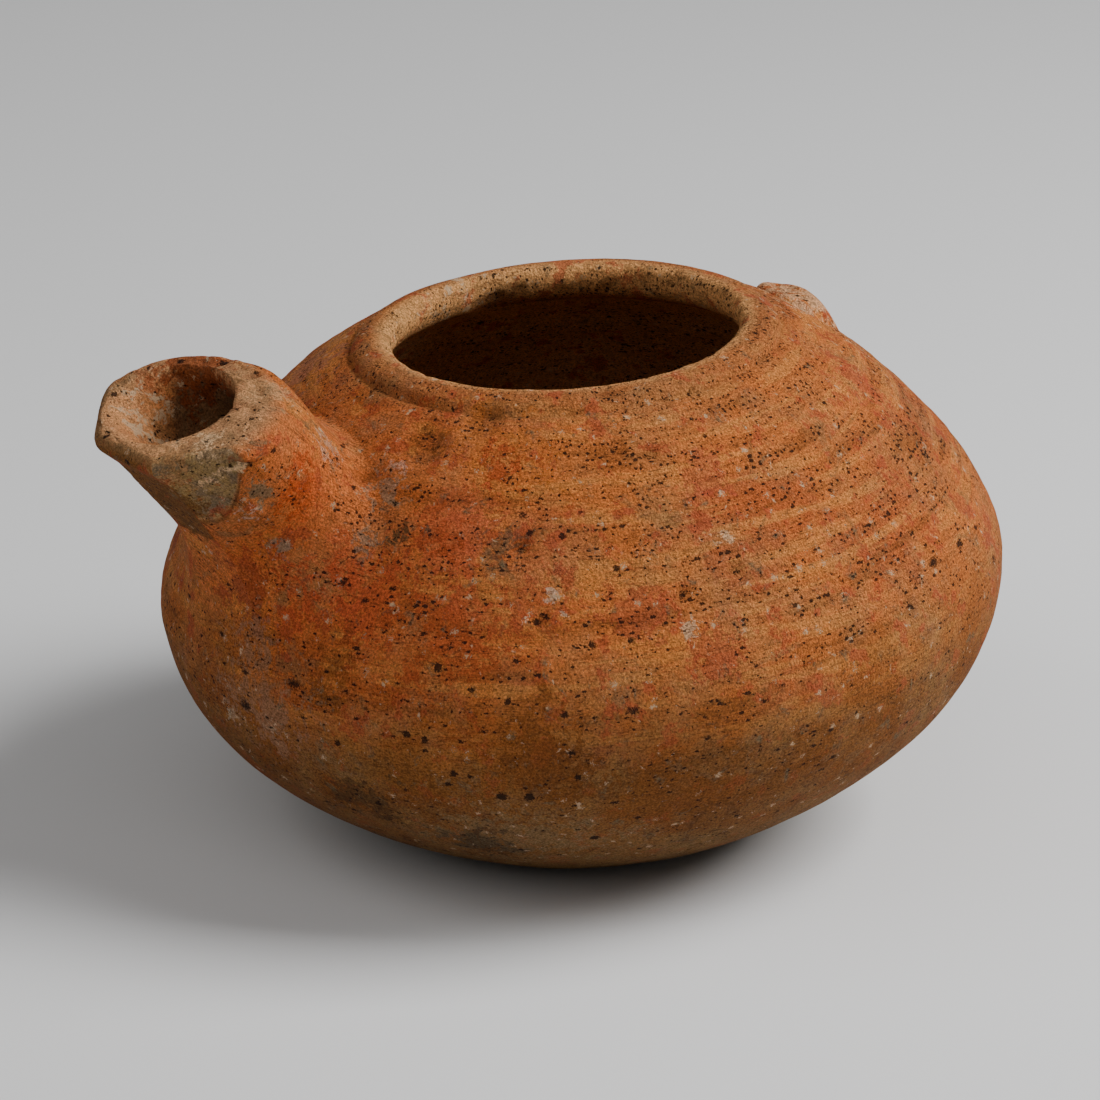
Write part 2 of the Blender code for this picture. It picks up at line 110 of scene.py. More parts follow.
class Clay:
    """The lamp's points and faces, and what each point is marked with for the relief and the colour."""

    def __init__(self):
        self.points = []
        self.faces = []
        self.marks = {"inside": [], "mouth": [], "pared": [], "luted": []}

    def point(self, place, **marks):
        self.points.append(place)
        for name, values in self.marks.items():
            values.append(marks.get(name, 0.0))
        return len(self.points) - 1

    def ring(self, places, pared=(), **marks):
        cuts = pared or [0.0] * len(places)
        return [self.point(place, pared=cut, **marks) for place, cut in zip(places, cuts)]

    def grow(self, ring, places, pared=(), **marks):
        """A further ring with a wall of faces up to it."""
        further = self.ring(places, pared, **marks)
        self.wall(ring, further)
        return further

    def wall(self, ring, other):
        """Faces between two closed rings of as many points."""
        for index in range(len(ring)):
            after = (index + 1) % len(ring)
            self.faces.append((ring[index], ring[after], other[after], other[index]))

    def cap(self, ring, middle):
        """A fan of faces from a closed ring to its middle point."""
        for index in range(len(ring)):
            self.faces.append((ring[index], ring[(index + 1) % len(ring)], middle))

    def seam(self, ring, ring_angles, other, other_angles):
        """Triangles between two closed rings that hold different numbers of points."""
        sides = []
        for points, angles in ((ring, ring_angles), (other, other_angles)):
            side = sorted(zip([angle % math.tau for angle in angles], points))
            sides.append(side + [(side[0][0] + math.tau, side[0][1])])
        first, second = sides
        i = 0
        j = 0
        while i + 1 < len(first) or j + 1 < len(second):
            a = first[i][1]
            b = second[j][1]
            if j + 1 == len(second) or (i + 1 < len(first) and first[i + 1][0] <= second[j + 1][0]):
                i += 1
                self.faces.append((a, first[i][1], b))
            else:
                j += 1
                self.faces.append((a, second[j][1], b))


def polar(radius, height, turn):
    """A point from its radius and height, the turn in radians being 0 on the nozzle's side."""
    return Vector((radius * math.sin(turn), -radius * math.cos(turn), height))


def bend(start, start_handle, end_handle, end):
    """Points of a cubic curve in the profile's plane, as (radius, height)."""
    ends = [Vector((*point, 0.0)) for point in (start, start_handle, end_handle, end)]
    return [Vector((place.x, place.y)) for place in interpolate_bezier(*ends, CURVE_POINTS)]


def evenly(points, step):
    """The same line with its points evenly spaced, about step apart."""
    lengths = [0.0]
    for before, after in zip(points, points[1:]):
        lengths.append(lengths[-1] + (after - before).length)
    count = max(2, round(lengths[-1] / step))
    result = []
    index = 0
    for number in range(count + 1):
        wanted = lengths[-1] * number / count
        while index < len(points) - 2 and lengths[index + 1] < wanted:
            index += 1
        share = (wanted - lengths[index]) / (lengths[index + 1] - lengths[index])
        result.append(points[index].lerp(points[index + 1], share))
    return result


def slope_way(angle):
    return Vector((math.cos(math.radians(angle)), math.sin(math.radians(angle))))


def outer_profile():
    """From the axis under the lamp, up over the belly and the collar, to the foot of the hole's wall."""
    underside = []
    for number in range(1, UNDERSIDE_POINTS + 1):
        angle = math.radians(UNDERSIDE_EDGE_ANGLE) * number / UNDERSIDE_POINTS
        height = pivot_height - UNDERSIDE_CURVE_RADIUS * math.cos(angle)
        underside.append(Vector((UNDERSIDE_CURVE_RADIUS * math.sin(angle), height)))
    edge = underside[-1]
    belly = Vector((BELLY_RADIUS, BELLY_HEIGHT))
    groove = Vector((GROOVE_RADIUS, RIM_HEIGHT - COLLAR_HEIGHT))
    edge_handle = edge + slope_way(UNDERSIDE_EDGE_ANGLE) * UNDERSIDE_PULL * (belly.x - edge.x)
    belly_low = belly - Vector((0.0, LOW_BELLY_PULL * (belly.y - edge.y)))
    belly_high = belly + Vector((0.0, HIGH_BELLY_PULL * (groove.y - belly.y)))
    groove_handle = groove + slope_way(-SHOULDER_START_ANGLE) * SHOULDER_PULL * (belly.x - groove.x)
    collar = []
    for number in range(COLLAR_POINTS + 1):
        angle = math.pi * number / COLLAR_POINTS
        wide = number < COLLAR_POINTS / 2
        width = COLLAR_RADIUS - CREST_RADIUS if wide else CREST_RADIUS - HOLE_RADIUS
        height = COLLAR_HEIGHT if wide else CREST_RADIUS - HOLE_RADIUS
        drop = height * (1 - math.sin(angle))
        collar.append(Vector((CREST_RADIUS + width * math.cos(angle), RIM_HEIGHT - drop)))
    for out, down in ((0.0, 0.55), (0.1, 0.72), (0.3, 0.90), (0.6, 1.08), (1.0, FOOT_DOWN)):
        collar.append(Vector((HOLE_RADIUS + out * FOOT_OUT, RIM_HEIGHT - HOLE_WALL_HEIGHT * down)))
    return (
        evenly(underside, UNDERSIDE_STEP)
        + evenly(bend(edge, edge_handle, belly_low, belly), OUTER_STEP)[1:]
        + evenly(bend(belly, belly_high, groove_handle, groove), OUTER_STEP)[1:]
        + evenly(collar, OUTER_STEP)
    )


def inner_profile():
    """From under the hole's wall, out along the vault to the belly and in along the floor."""
    start = Vector((HOLE_RADIUS + FOOT_OUT, RIM_HEIGHT - HOLE_WALL_HEIGHT * FOOT_DOWN))
    belly = Vector((BELLY_RADIUS - WALL, BELLY_HEIGHT))
    middle = Vector((0.0, FLOOR))
    start_handle = start + slope_way(-VAULT_START_ANGLE) * VAULT_PULL * (belly.x - start.x)
    belly_high = belly + Vector((0.0, HIGH_BELLY_PULL * (start.y - belly.y)))
    belly_low = belly - Vector((0.0, BOWL_PULL * (belly.y - FLOOR)))
    vault = bend(start, start_handle, belly_high, belly)
    bowl = bend(belly, belly_low, middle + Vector((FLOOR_PULL * belly.x, 0.0)), middle)
    return evenly(vault, INNER_STEP)[1:] + evenly(bowl, 2 * INNER_STEP)[1:-1]


@dataclass
class Window:
    """A rectangle of a turned skin that is left open for a ring of clay to grow out of it."""

    rows: list
    turns: int
    column: int
    half_columns: int
    low_row: int
    high_row: int

    def holds(self, column, row, last=0):
        """Whether a grid point is inside, or with last=1 whether the face that starts there is."""
        offset = (column - self.column + self.turns // 2) % self.turns - self.turns // 2
        across = -self.half_columns - last < offset < self.half_columns
        return across and self.low_row - last < row < self.high_row

    def edge(self):
        left = self.column - self.half_columns
        right = self.column + self.half_columns
        low = [(column, self.low_row) for column in range(left, right)]
        up = [(right, row) for row in range(self.low_row, self.high_row)]
        high = [(column, self.high_row) for column in range(right, left, -1)]
        down = [(left, row) for row in range(self.high_row, self.low_row, -1)]
        return low + up + high + down

    def angles(self):
        middle = (self.low_row + self.high_row) / 2
        half = (self.high_row - self.low_row) / 2
        ways = [(column - self.column, row - middle) for column, row in self.edge()]
        return [math.atan2(up / half, across / self.half_columns) for across, up in ways]

    def place(self, column, row):
        """The point of the skin at a column and row that may lie between the grid's."""
        index = min(max(int(row), 0), len(self.rows) - 2)
        spot = self.rows[index].lerp(self.rows[index + 1], row - index)
        return polar(spot.x, spot.y, column * math.tau / self.turns)

    def oval(self, angle, half_width, low, high):
        """The (column, row) of an oval between two rows."""
        radius = self.rows[int((low + high) / 2)].x
        half_columns = math.asin(half_width / radius) * self.turns / math.tau
        row = (low + high) / 2 + (high - low) / 2 * math.sin(angle)
        return self.column + half_columns * math.cos(angle), row


def row_where(rows, first, last, test):
    """The place between two rows where test turns positive, as a row number with a fraction."""
    for index in range(first, last):
        here = test(rows[index])
        ahead = test(rows[index + 1])
        if here <= 0 < ahead:
            return index - here / (ahead - here)
    return float(last)


def upper_row(radius):
    """The place above the belly where the outer skin has come in to a radius."""
    return row_where(outer, belly_row, len(outer) - 1, lambda spot: radius - spot.x)


def half_columns(half_width, radius, turns):
    """How many columns of a skin a window reaches to each side, to hold an oval of some half-width."""
    return math.ceil(math.asin((half_width + WINDOW_MARGIN) / radius) * turns / math.tau)


def turn_skin(clay, rows, turns, windows, inside):
    """One turned skin as a grid that leaves its windows open."""
    grid = {}
    for row, spot in enumerate(rows):
        for column in range(turns):
            if not any(window.holds(column, row) for window in windows):
                place = polar(spot.x, spot.y, column * math.tau / turns)
                grid[column, row] = clay.point(place, inside=inside)
    for row in range(len(rows) - 1):
        for column in range(turns):
            if not any(window.holds(column, row, 1) for window in windows):
                after = (column + 1) % turns
                corners = ((column, row), (after, row), (after, row + 1), (column, row + 1))
                clay.faces.append(tuple(grid[corner] for corner in corners))
    return grid


def window_edge(grid, window):
    return [grid[column % window.turns, row] for column, row in window.edge()]


clay = Clay()
outer = outer_profile()
inner = inner_profile()
belly_row = next(row for row, spot in enumerate(outer) if spot.x > BELLY_RADIUS - 1e-6)


# The nozzle: a short stout tube, thrown or rolled apart, luted on to the edge of the shoulder with
# slip and drawn out to a flaring mouth. A knife then pared the lip underneath in three flat cuts.

ROOT_HALF_WIDTH = 0.0174
ROOT_LOW_HEIGHT = 0.0270
ROOT_HIGH_RADIUS = 0.0262
ROOT_FILLET = 0.9
WAIST_HALF_WIDTH = 0.0110
WAIST_FRONT_LENGTH = 0.0116
WAIST_BACK_LENGTH = 0.0062
WAIST_PROUD = 0.0016
WAIST_BELOW_MOUTH = 0.0062
WAIST_TILT = 37.0
TIP_REACH = 0.0080
TIP_DROP = 0.0008
MOUTH_REACH = 0.00805
MOUTH_HALF_WIDTH = 0.0136
MOUTH_HALF_LENGTH = 0.0095
MOUTH_TILT = 16.0
LIP_ROUNDING = 0.0013
OPENING_HALF_WIDTH = 0.0084
OPENING_HALF_LENGTH = 0.0064
OPENING_SHIFT = 0.0023
FUNNEL_DEPTH = 0.0080
CHANNEL_END_HALF_WIDTH = 0.0062
CHANNEL_END_HALF_LENGTH = 0.0056
CHANNEL_END_RADIUS = 0.0300
ROOT_RINGS = 5
NECK_RINGS = 20
FLARE_RINGS = 14
LIP_RINGS = 7
SLOPE_RINGS = 8
CHANNEL_RINGS = 20

# How far up the flare its rings go, so that they end below the lip's rounding
FLARE_SHARE = 0.78

mouth_turn = math.radians(MOUTH_TILT)
mouth_front = Vector((0.0, -math.cos(mouth_turn), -math.sin(mouth_turn)))
mouth_up = Vector((0.0, -math.sin(mouth_turn), math.cos(mouth_turn)))

# The left cut has worn until its edges are gone
WORN_ROUND = 0.16

# Each knife cut: how far it is turned to the right, how far it undercuts, and how deep it goes
knife_cuts = []
for turn, undercut, depth in ((6.5, 34.2, 0.00187), (47.6, 22.9, 0.0020), (-37.2, 31.0, 0.0016)):
    turn = math.radians(turn)
    undercut = math.radians(undercut)
    way = Vector((math.sin(turn), -math.cos(turn), 0.0)) * math.cos(undercut)
    way.z = -math.sin(undercut)
    uncut = math.hypot(way.x * MOUTH_HALF_WIDTH, way.dot(mouth_front) * MOUTH_HALF_LENGTH)
    knife_cuts.append((way, uncut - depth))
tip = Vector((0.0, -BELLY_RADIUS - TIP_REACH, RIM_HEIGHT - TIP_DROP))
mouth_middle = tip - mouth_front * MOUTH_REACH


def egg(centre, tilt, half_width, front_length, back_length, angle):
    """A point of an egg-shaped section that tilts down towards the front of the nozzle."""
    back = Vector((0.0, math.cos(tilt), math.sin(tilt)))
    length = front_length if angle < 0 else back_length
    across = Vector((half_width * math.cos(angle), 0.0, 0.0))
    return centre + across + back * length * math.sin(angle)


def pare(point, centre):
    """The point drawn in until it is inside every cut, and how far it came, below 0 in the front cut."""
    shares = []
    for way, distance in knife_cuts:
        out = (point - centre).dot(way)
        room = distance - (centre - mouth_middle).dot(way)
        shares.append(room / out if out > 0 < room else 9.0)
    front, right, left = shares
    share = min(front, right, 1.0)
    close = max(WORN_ROUND - abs(left - share), 0.0) / WORN_ROUND
    share = min(left, share) - close * close * WORN_ROUND / 4
    depth = 1000 * (1 - share) * (point - centre).length
    return centre.lerp(point, share), -depth if front < right else depth


def blend(start, start_way, end, end_way, share):
    """A point of the smooth curve from start to end that leaves and arrives in given ways."""
    stretch = (end - start).length * ROOT_FILLET
    a = 2 * share**3 - 3 * share**2 + 1
    b = share**3 - 2 * share**2 + share
    c = -2 * share**3 + 3 * share**2
    d = share**3 - share**2
    return start * a + start_way * stretch * b + end * c + end_way * stretch * d


def grow_to_oval(clay, grid, window, oval, steps):
    """Rings on the skin itself, from a window's edge to the oval that a feature grows from."""
    ring = window_edge(grid, window)
    for step in range(1, steps + 1):
        share = step / steps
        places = []
        for (column, row), angle in zip(window.edge(), window.angles()):
            oval_column, oval_row = window.oval(angle, *oval)
            new_column = column + (oval_column - column) * share
            places.append(window.place(new_column, row + (oval_row - row) * share))
        ring = clay.grow(ring, places, luted=share)
    return ring, places


def inward_ways(window, oval):
    """For each point of a window's oval, the way along the skin towards the oval's middle."""
    half_width, low, high = oval
    # A tenth of the way in, on the same skin
    inset = (high - low) / 2 / 10
    ways = []
    for angle in window.angles():
        here = window.place(*window.oval(angle, *oval))
        inside = window.place(*window.oval(angle, half_width * 9 / 10, low + inset, high - inset))
        ways.append((inside - here).normalized())
    return ways


def flare(share, angle):
    """A point of the neck, from its waist at 0 to its mouth at 1, and how deep it is pared."""
    waist_turn = math.radians(WAIST_TILT)
    waist_y = WAIST_FRONT_LENGTH * math.cos(waist_turn) - BELLY_RADIUS - WAIST_PROUD
    waist = Vector((0.0, waist_y, mouth_middle.z - WAIST_BELOW_MOUTH))
    centre = waist.lerp(mouth_middle, share)
    tilt = waist_turn + (mouth_turn - waist_turn) * share
    half_width = WAIST_HALF_WIDTH + (MOUTH_HALF_WIDTH - WAIST_HALF_WIDTH) * share
    front = WAIST_FRONT_LENGTH + (MOUTH_HALF_LENGTH - WAIST_FRONT_LENGTH) * share
    back = WAIST_BACK_LENGTH + (MOUTH_HALF_LENGTH - WAIST_BACK_LENGTH) * share
    return pare(egg(centre, tilt, half_width, front, back, angle), centre)


root_low = row_where(outer, 0, len(outer) - 1, lambda spot: spot.y - ROOT_LOW_HEIGHT)
root_high = upper_row(ROOT_HIGH_RADIUS)
root_radius = outer[int((root_low + root_high) / 2)].x
root_columns = half_columns(ROOT_HALF_WIDTH, root_radius, OUTER_TURNS)
root_rows = (math.floor(root_low - 2), math.ceil(root_high + 2))
nozzle_window = Window(outer, OUTER_TURNS, 0, root_columns, *root_rows)

vault_end = next(row for row, spot in enumerate(inner) if spot.x > BELLY_RADIUS - WALL - 1e-6)
end_row = row_where(inner, 0, vault_end, lambda spot: spot.x - CHANNEL_END_RADIUS)
end_low = end_row - CHANNEL_END_HALF_LENGTH / INNER_STEP
end_high = end_row + CHANNEL_END_HALF_LENGTH / INNER_STEP
end_columns = half_columns(CHANNEL_END_HALF_WIDTH, CHANNEL_END_RADIUS, INNER_TURNS)
channel_window = Window(inner, INNER_TURNS, 0, end_columns, math.floor(end_low), math.ceil(end_high))


# The handle's root: a strap handle rose from the shoulder behind the hole, and broke off in antiquity.
# What is left is a low worn lump of the same clay, with the break on its outer face.

STUB_HALF_WIDTH = 0.0054
STUB_INNER_RADIUS = 0.0238
STUB_OUTER_RADIUS = 0.0308
STUB_TOP_RADIUS = 0.0268
STUB_TOP_HALF_WIDTH = 0.0028
STUB_TOP_HALF_LENGTH = 0.0015
STUB_RISE = 0.0012
STUB_SWELL = 0.0006
STUB_ROOT_RINGS = 3
STUB_RINGS = 12

stub_low = upper_row(STUB_OUTER_RADIUS)
stub_high = upper_row(STUB_INNER_RADIUS)
stub_columns = half_columns(STUB_HALF_WIDTH, STUB_TOP_RADIUS, OUTER_TURNS)
stub_rows = (math.floor(stub_low - 1), math.ceil(stub_high + 1))
stub_window = Window(outer, OUTER_TURNS, OUTER_TURNS // 2, stub_columns, *stub_rows)

outer_grid = turn_skin(clay, outer, OUTER_TURNS, (nozzle_window, stub_window), 0.0)
inner_grid = turn_skin(clay, inner, INNER_TURNS, (channel_window,), 1.0)

outer_foot = [outer_grid[column, 0] for column in range(OUTER_TURNS)]
clay.cap(outer_foot, clay.point(Vector((0.0, 0.0, pivot_height - UNDERSIDE_CURVE_RADIUS))))
inner_floor = [inner_grid[column, len(inner) - 1] for column in range(INNER_TURNS)]
clay.cap(inner_floor, clay.point(Vector((0.0, 0.0, FLOOR)), inside=1.0))
wall_foot = [outer_grid[column, len(outer) - 1] for column in range(OUTER_TURNS)]
vault_top = [inner_grid[column, 0] for column in range(INNER_TURNS)]
clay.seam(
    wall_foot,
    [column * math.tau / OUTER_TURNS for column in range(OUTER_TURNS)],
    vault_top,
    [column * math.tau / INNER_TURNS for column in range(INNER_TURNS)],
)

root_oval = (ROOT_HALF_WIDTH, root_low, root_high)
ring, root = grow_to_oval(clay, outer_grid, nozzle_window, root_oval, ROOT_RINGS)
ways = inward_ways(nozzle_window, root_oval)
angles = nozzle_window.angles()
waist_points = [flare(0.0, angle)[0] for angle in angles]
up = [(flare(0.2, angle)[0] - start).normalized() for angle, start in zip(angles, waist_points)]
for step in range(1, NECK_RINGS + 1):
    places = [blend(*ends, step / NECK_RINGS) for ends in zip(root, ways, waist_points, up)]
    ring = clay.grow(ring, places, luted=1.0)
for step in range(1, FLARE_RINGS):
    places, cuts = zip(*[flare(step / FLARE_RINGS * FLARE_SHARE, angle) for angle in angles])
    ring = clay.grow(ring, places, cuts, luted=1.0)

# The mark for the mouth is 0 up to the lip, about 0.2 on it, 0.5 at the opening and 1 at the vault
outline, cuts = zip(*[flare(1.0, angle) for angle in angles])
rounding = LIP_ROUNDING / MOUTH_HALF_LENGTH
for number in range(LIP_RINGS):
    turn = math.pi / 2 / (LIP_RINGS - 1) * number
    inset = rounding * (1 - math.cos(turn))
    drop = mouth_up * LIP_ROUNDING * (1 - math.sin(turn))
    lip = [place.lerp(mouth_middle, inset) - drop for place in outline]
    left = [cut * math.cos(turn) for cut in cuts]
    ring = clay.grow(ring, lip, left, luted=1.0, mouth=0.03 * number)
opening_middle = mouth_middle - Vector((OPENING_SHIFT, 0.0, 0.0))
opening = []
for angle in angles:
    length = OPENING_HALF_LENGTH
    opening.append(egg(opening_middle, mouth_turn, OPENING_HALF_WIDTH, length, length, angle))
for step in range(1, SLOPE_RINGS + 1):
    places = [place.lerp(edge, step / SLOPE_RINGS) for place, edge in zip(lip, opening)]
    ring = clay.grow(ring, places, luted=1.0, mouth=0.2 + 0.3 * step / SLOPE_RINGS)
end_points = []
for angle in angles:
    place = channel_window.oval(-angle, CHANNEL_END_HALF_WIDTH, end_low, end_high)
    end_points.append(channel_window.place(*place))
end_middle = sum(end_points, Vector()) / len(end_points)
down = (end_middle - mouth_middle).normalized()
throat = mouth_middle + down * FUNNEL_DEPTH
for step in range(1, CHANNEL_RINGS + 1):
    share = step / CHANNEL_RINGS
    places = []
    for start, end in zip(opening, end_points):
        places.append(blend(start, (throat - start).normalized(), end, down, share))
    mouth = 0.5 + 0.5 * step / CHANNEL_RINGS
    ring = clay.grow(ring, places, luted=1.0, inside=share, mouth=mouth)
turned = [-angle for angle in angles]
clay.seam(ring, turned, window_edge(inner_grid, channel_window), channel_window.angles())

stub_oval = (STUB_HALF_WIDTH, stub_low, stub_high)
ring, root = grow_to_oval(clay, outer_grid, stub_window, stub_oval, STUB_ROOT_RINGS)
top = stub_window.place(stub_window.column, upper_row(STUB_TOP_RADIUS)) + Vector((0.0, 0.0, STUB_RISE))
crown = []
for angle in stub_window.angles():
    across = -STUB_TOP_HALF_WIDTH * math.cos(angle)
    crown.append(top + Vector((across, -STUB_TOP_HALF_LENGTH * math.sin(angle), 0.0)))
for step in range(1, STUB_RINGS + 1):
    share = step / STUB_RINGS
    swell = Vector((0.0, 0.0, STUB_SWELL * math.sin(math.pi * share)))
    ring = clay.grow(ring, [start.lerp(end, share) + swell for start, end in zip(root, crown)], luted=1.0)
for share in (1 / 3, 2 / 3):
    ring = clay.grow(ring, [place.lerp(top, share) for place in crown], luted=1.0)
clay.cap(ring, clay.point(top, luted=1.0))

scene_objects = bpy.context.scene.collection.objects
rough_mesh = bpy.data.meshes.new("rough_lamp")
rough_mesh.from_pydata(clay.points, [], clay.faces)
for name, values in clay.marks.items():
    mark = rough_mesh.attributes.new(name, "FLOAT", "POINT")
    mark.data.foreach_set("value", values)
rough_mesh.shade_smooth()
thrown = bpy.data.objects.new("thrown_lamp", rough_mesh)
scene_objects.link(thrown)


# The fired clay: coarse iron-rich terracotta, fired unevenly in a simple kiln, so it runs from tan
# to brick red. Burial left it matt and gritty, with open pores, lime flecks and grey-green stains.

# The kinds of node that its colour and its relief use most
MATH = "ShaderNodeMath"
VECTOR = "ShaderNodeVectorMath"
RANGE = "ShaderNodeMapRange"
NOISE = "ShaderNodeTexNoise"
MIX = "ShaderNodeMix"


def add(tree, kind, inputs=(), operation=None, out=0, **settings):
    """Adds a node with its settings and its inputs, values or links, and gives one of its outputs.

    Inputs in the node's own order are a tuple, and others go by name or number. A range has its value
    first, then where the value starts and ends, then what comes out there, or 0 and 1 if that is left out.
    """
    node = tree.nodes.new(kind)
    if operation:
        node.operation = operation
    for name, value in settings.items():
        setattr(node, name, value)
    for socket, value in inputs.items() if isinstance(inputs, dict) else enumerate(inputs):
        if isinstance(value, bpy.types.NodeSocket):
            tree.links.new(value, node.inputs[socket])
        else:
            node.inputs[socket].default_value = value
    return node.outputs[out] if node.outputs else node


def linear(code):
    """The linear colour of an sRGB hex code."""
    parts = [int(code[index : index + 2], 16) / 255 for index in (0, 2, 4)]
    return (*[part / 12.92 if part < 0.04045 else ((part + 0.055) / 1.055) ** 2.4 for part in parts], 1.0)


def wheel_places(tree, spot, length):
    """From places in mm: the axes, how far out each place is, and places drawn out round the wall."""
    axes = add(tree, "ShaderNodeSeparateXYZ", (spot,)).node.outputs
    level = add(tree, VECTOR, (spot, (1.0, 1.0, 0.0)), "MULTIPLY")
    out_from_axis = add(tree, VECTOR, (level,), "LENGTH", out="Value")
    rise_in = add(tree, MATH, (axes["Z"], out_from_axis), "SUBTRACT")
    rise_in = add(tree, "ShaderNodeCombineXYZ", {"Z": rise_in})
    way_round = add(tree, VECTOR, (level,), "NORMALIZE")
    round_wall = add(tree, VECTOR, {0: way_round, "Scale": length}, "SCALE")
    return axes, out_from_axis, add(tree, VECTOR, (rise_in, round_wall), "ADD")


# Weathered fired terracotta: dry and quite without shine. The eye reads it as gritty and warm,
# mottled in patches a centimetre or two wide and streaked round the wall by the wheel.
fired = bpy.data.materials.new("weathered fired terracotta")
fired.use_nodes = True
paint = fired.node_tree
shader = paint.nodes["Principled BSDF"]
shader.inputs["Roughness"].default_value = 0.93
shader.inputs["Specular IOR Level"].default_value = 0.15

# Places in mm on the lamp as it came off the wheel, before it leaned
lean = math.radians(LEAN)
unleaned = (0.0, -pivot_height * math.sin(lean), pivot_height * (1 - math.cos(lean)))
spot = add(paint, "ShaderNodeTexCoord", out="Object")
spot = add(
    paint, "ShaderNodeMapping", {"Vector": spot, "Location": unleaned, "Rotation": (-lean, 0.0, 0.0)},
    vector_type="POINT",
)
spot = add(paint, VECTOR, {0: spot, "Scale": 1000.0}, "SCALE")
axes, out_from_axis, streak_place = wheel_places(paint, spot, 5.0)
inside, mouth, pared, luted, hollow = [
    add(paint, "ShaderNodeAttribute", attribute_name=name, out="Fac")
    for name in ("inside", "mouth", "pared", "luted", "hollow")
]

# The noises on the lamp, from the widest patches to the finest grit: how many waves to the mm,
# detail, roughness and distortion
patch, lick, blotch, smudge, rose, ragged, grain, grit = [
    add(paint, NOISE, {"Vector": spot, **dict(zip(("Scale", "Detail", "Roughness", "Distortion"), row))})
    for row in (
        (1 / 15, 9.0, 0.66, 0.0),
        (1 / 7, 7.0, 0.66, 0.0),
        (1 / 6, 8.0, 0.7, 0.6),
        (0.5, 7.0, 0.68, 0.5),
        (0.30, 8.0, 0.68, 0.0),
        (0.9, 7.0, 0.75, 0.5),
        (1.3, 3.0, 0.5, 0.0),
        (4.4, 3.0, 0.75, 0.0),
    )
]

# Streaks drawn out round the wall, as the wheel draws them
streak = add(paint, NOISE, {"Vector": streak_place, "Scale": 0.4, "Detail": 6.0, "Roughness": 0.65})

# Where the flame played, how high up the lamp for the earth stains and the painted shade below the belly,
# and whether at the rim
flame = add(paint, VECTOR, (spot, (11.0, -33.0, 42.0)), "DISTANCE", out="Value")
flame = add(paint, RANGE, (flame, 6.0, 32.0, 0.30, 0.0))
flame = add(paint, MATH, (flame, lick), "ADD")
earth_and_low_shade = add(paint, MATH, (patch, 22.0, axes["Z"]), "MULTIPLY_ADD")
at_rim_height = add(paint, RANGE, (axes["Z"], 45.0, 48.0))

# The knife's facets: how sooty they are, and how far from the lower edge of the cut
sooty = add(paint, MATH, (lick, 0.5, pared), "MULTIPLY_ADD")
smudged = add(paint, RANGE, (smudge, 0.4, 0.6))
sooty_tone = {0: smudged, 6: linear("A88A56"), 7: linear("7A6C54")}
sooty_tone = add(paint, MIX, sooty_tone, out=2, data_type="RGBA")
cut_edge = add(paint, MATH, (pared,), "ABSOLUTE")
cut_edge = add(paint, MATH, (cut_edge, 0.08), "SUBTRACT")
cut_edge = add(paint, MATH, (cut_edge,), "ABSOLUTE")
off_lip = add(paint, RANGE, (mouth, 0.0, 0.03, 1.0, 0.0))

# The mouth: where the lip is rubbed, its two tones, and the side of the throat that a painted shadow
# darkens
slope_bare = add(paint, RANGE, (mouth, 0.5, 0.6, 1.0, 0.25))
lip_tone = {0: add(paint, RANGE, (blotch, 0.42, 0.6)), 6: linear("DCA674"), 7: linear("A8865E")}
lip_tone = add(paint, MIX, lip_tone, out=2, data_type="RGBA")
throat_shadow_side = add(paint, VECTOR, (spot, (0.5, 0.866, 0.0)), "DOT_PRODUCT", out="Value")
throat_shadow_side = add(paint, MATH, (smudge, 3.0, throat_shadow_side), "MULTIPLY_ADD")
throat_shadow_side = add(paint, RANGE, (throat_shadow_side, -37.4, -36.8, 0.0, 0.9))

# The clay's own tan, and over it one tone after another: what it reads, between which two values,
# how strong it is at each of them, what else holds it back, and the tone
colour = linear("C86F34")
for value, low, high, at_low, at_high, limits, tone in (
    # Brick red in patches of about 15 mm
    (patch, 0.49, 0.55, 0.0, 0.65, (), linear("B4562B")),
    # Streaks round the wall, from 1 to 4 mm wide, light and brown
    (streak, 0.50, 0.57, 0.0, 0.7, (), linear("D68742")),
    (streak, 0.44, 0.37, 0.0, 0.6, (), linear("8A4E22")),
    # Redder where the flame played on the nozzle's root and the shoulder beside it
    (flame, 0.65, 0.71, 0.0, 0.75, (), linear("D06C34")),
    # Brown below the belly and olive tan underneath: partly stains where the lamp stood in damp earth,
    # partly painted shade that darkens the lower body
    (earth_and_low_shade, 42.0, 31.0, 0.0, 0.85, (), linear("784A1E")),
    (earth_and_low_shade, 26.0, 12.0, 0.0, 0.7, (), linear("8C764E")),
    # Blotches of thin brown crust, 4 to 10 mm wide
    (blotch, 0.585, 0.63, 0.0, 0.5, (), linear("84603E")),
    # The rim, rubbed paler than the shoulder
    (out_from_axis, 23.2, 21.0, 0.0, 0.6, (at_rim_height,), linear("AC6C3C")),
    # Grey olive on the facets that the knife left at the sides, and brown on the front one
    (sooty, 0.22, 0.5, 0.0, 0.9, (), sooty_tone),
    (pared, -0.02, -0.25, 0.0, 0.9, (), linear("7B5024")),
    # A dark line of earth along the lower edge of each cut
    (cut_edge, 0.02, 0.07, 0.5, 0.0, (off_lip,), linear("4A3418")),
    # The mouth's rubbed lip, the painted shadow that the lip casts on one side of the throat, and the clay
    # further in, lightened as painted light
    (mouth, 0.04, 0.2, 0.0, 0.75, (slope_bare,), lip_tone),
    (mouth, 0.52, 0.60, 0.0, 1.0, (throat_shadow_side,), linear("4A3020")),
    # Painted light: the clay inside the lamp in a lighter tone, for the light that reaches in through the
    # hole
    (inside, 0.1, 0.8, 0.0, 0.9, (), linear("D09C68")),
):
    reach = add(paint, RANGE, (value, low, high, at_low, at_high))
    for limit in limits:
        reach = add(paint, MATH, (reach, limit), "MULTIPLY")
    colour = add(paint, MIX, {0: reach, 6: colour, 7: tone}, out=2, data_type="RGBA")
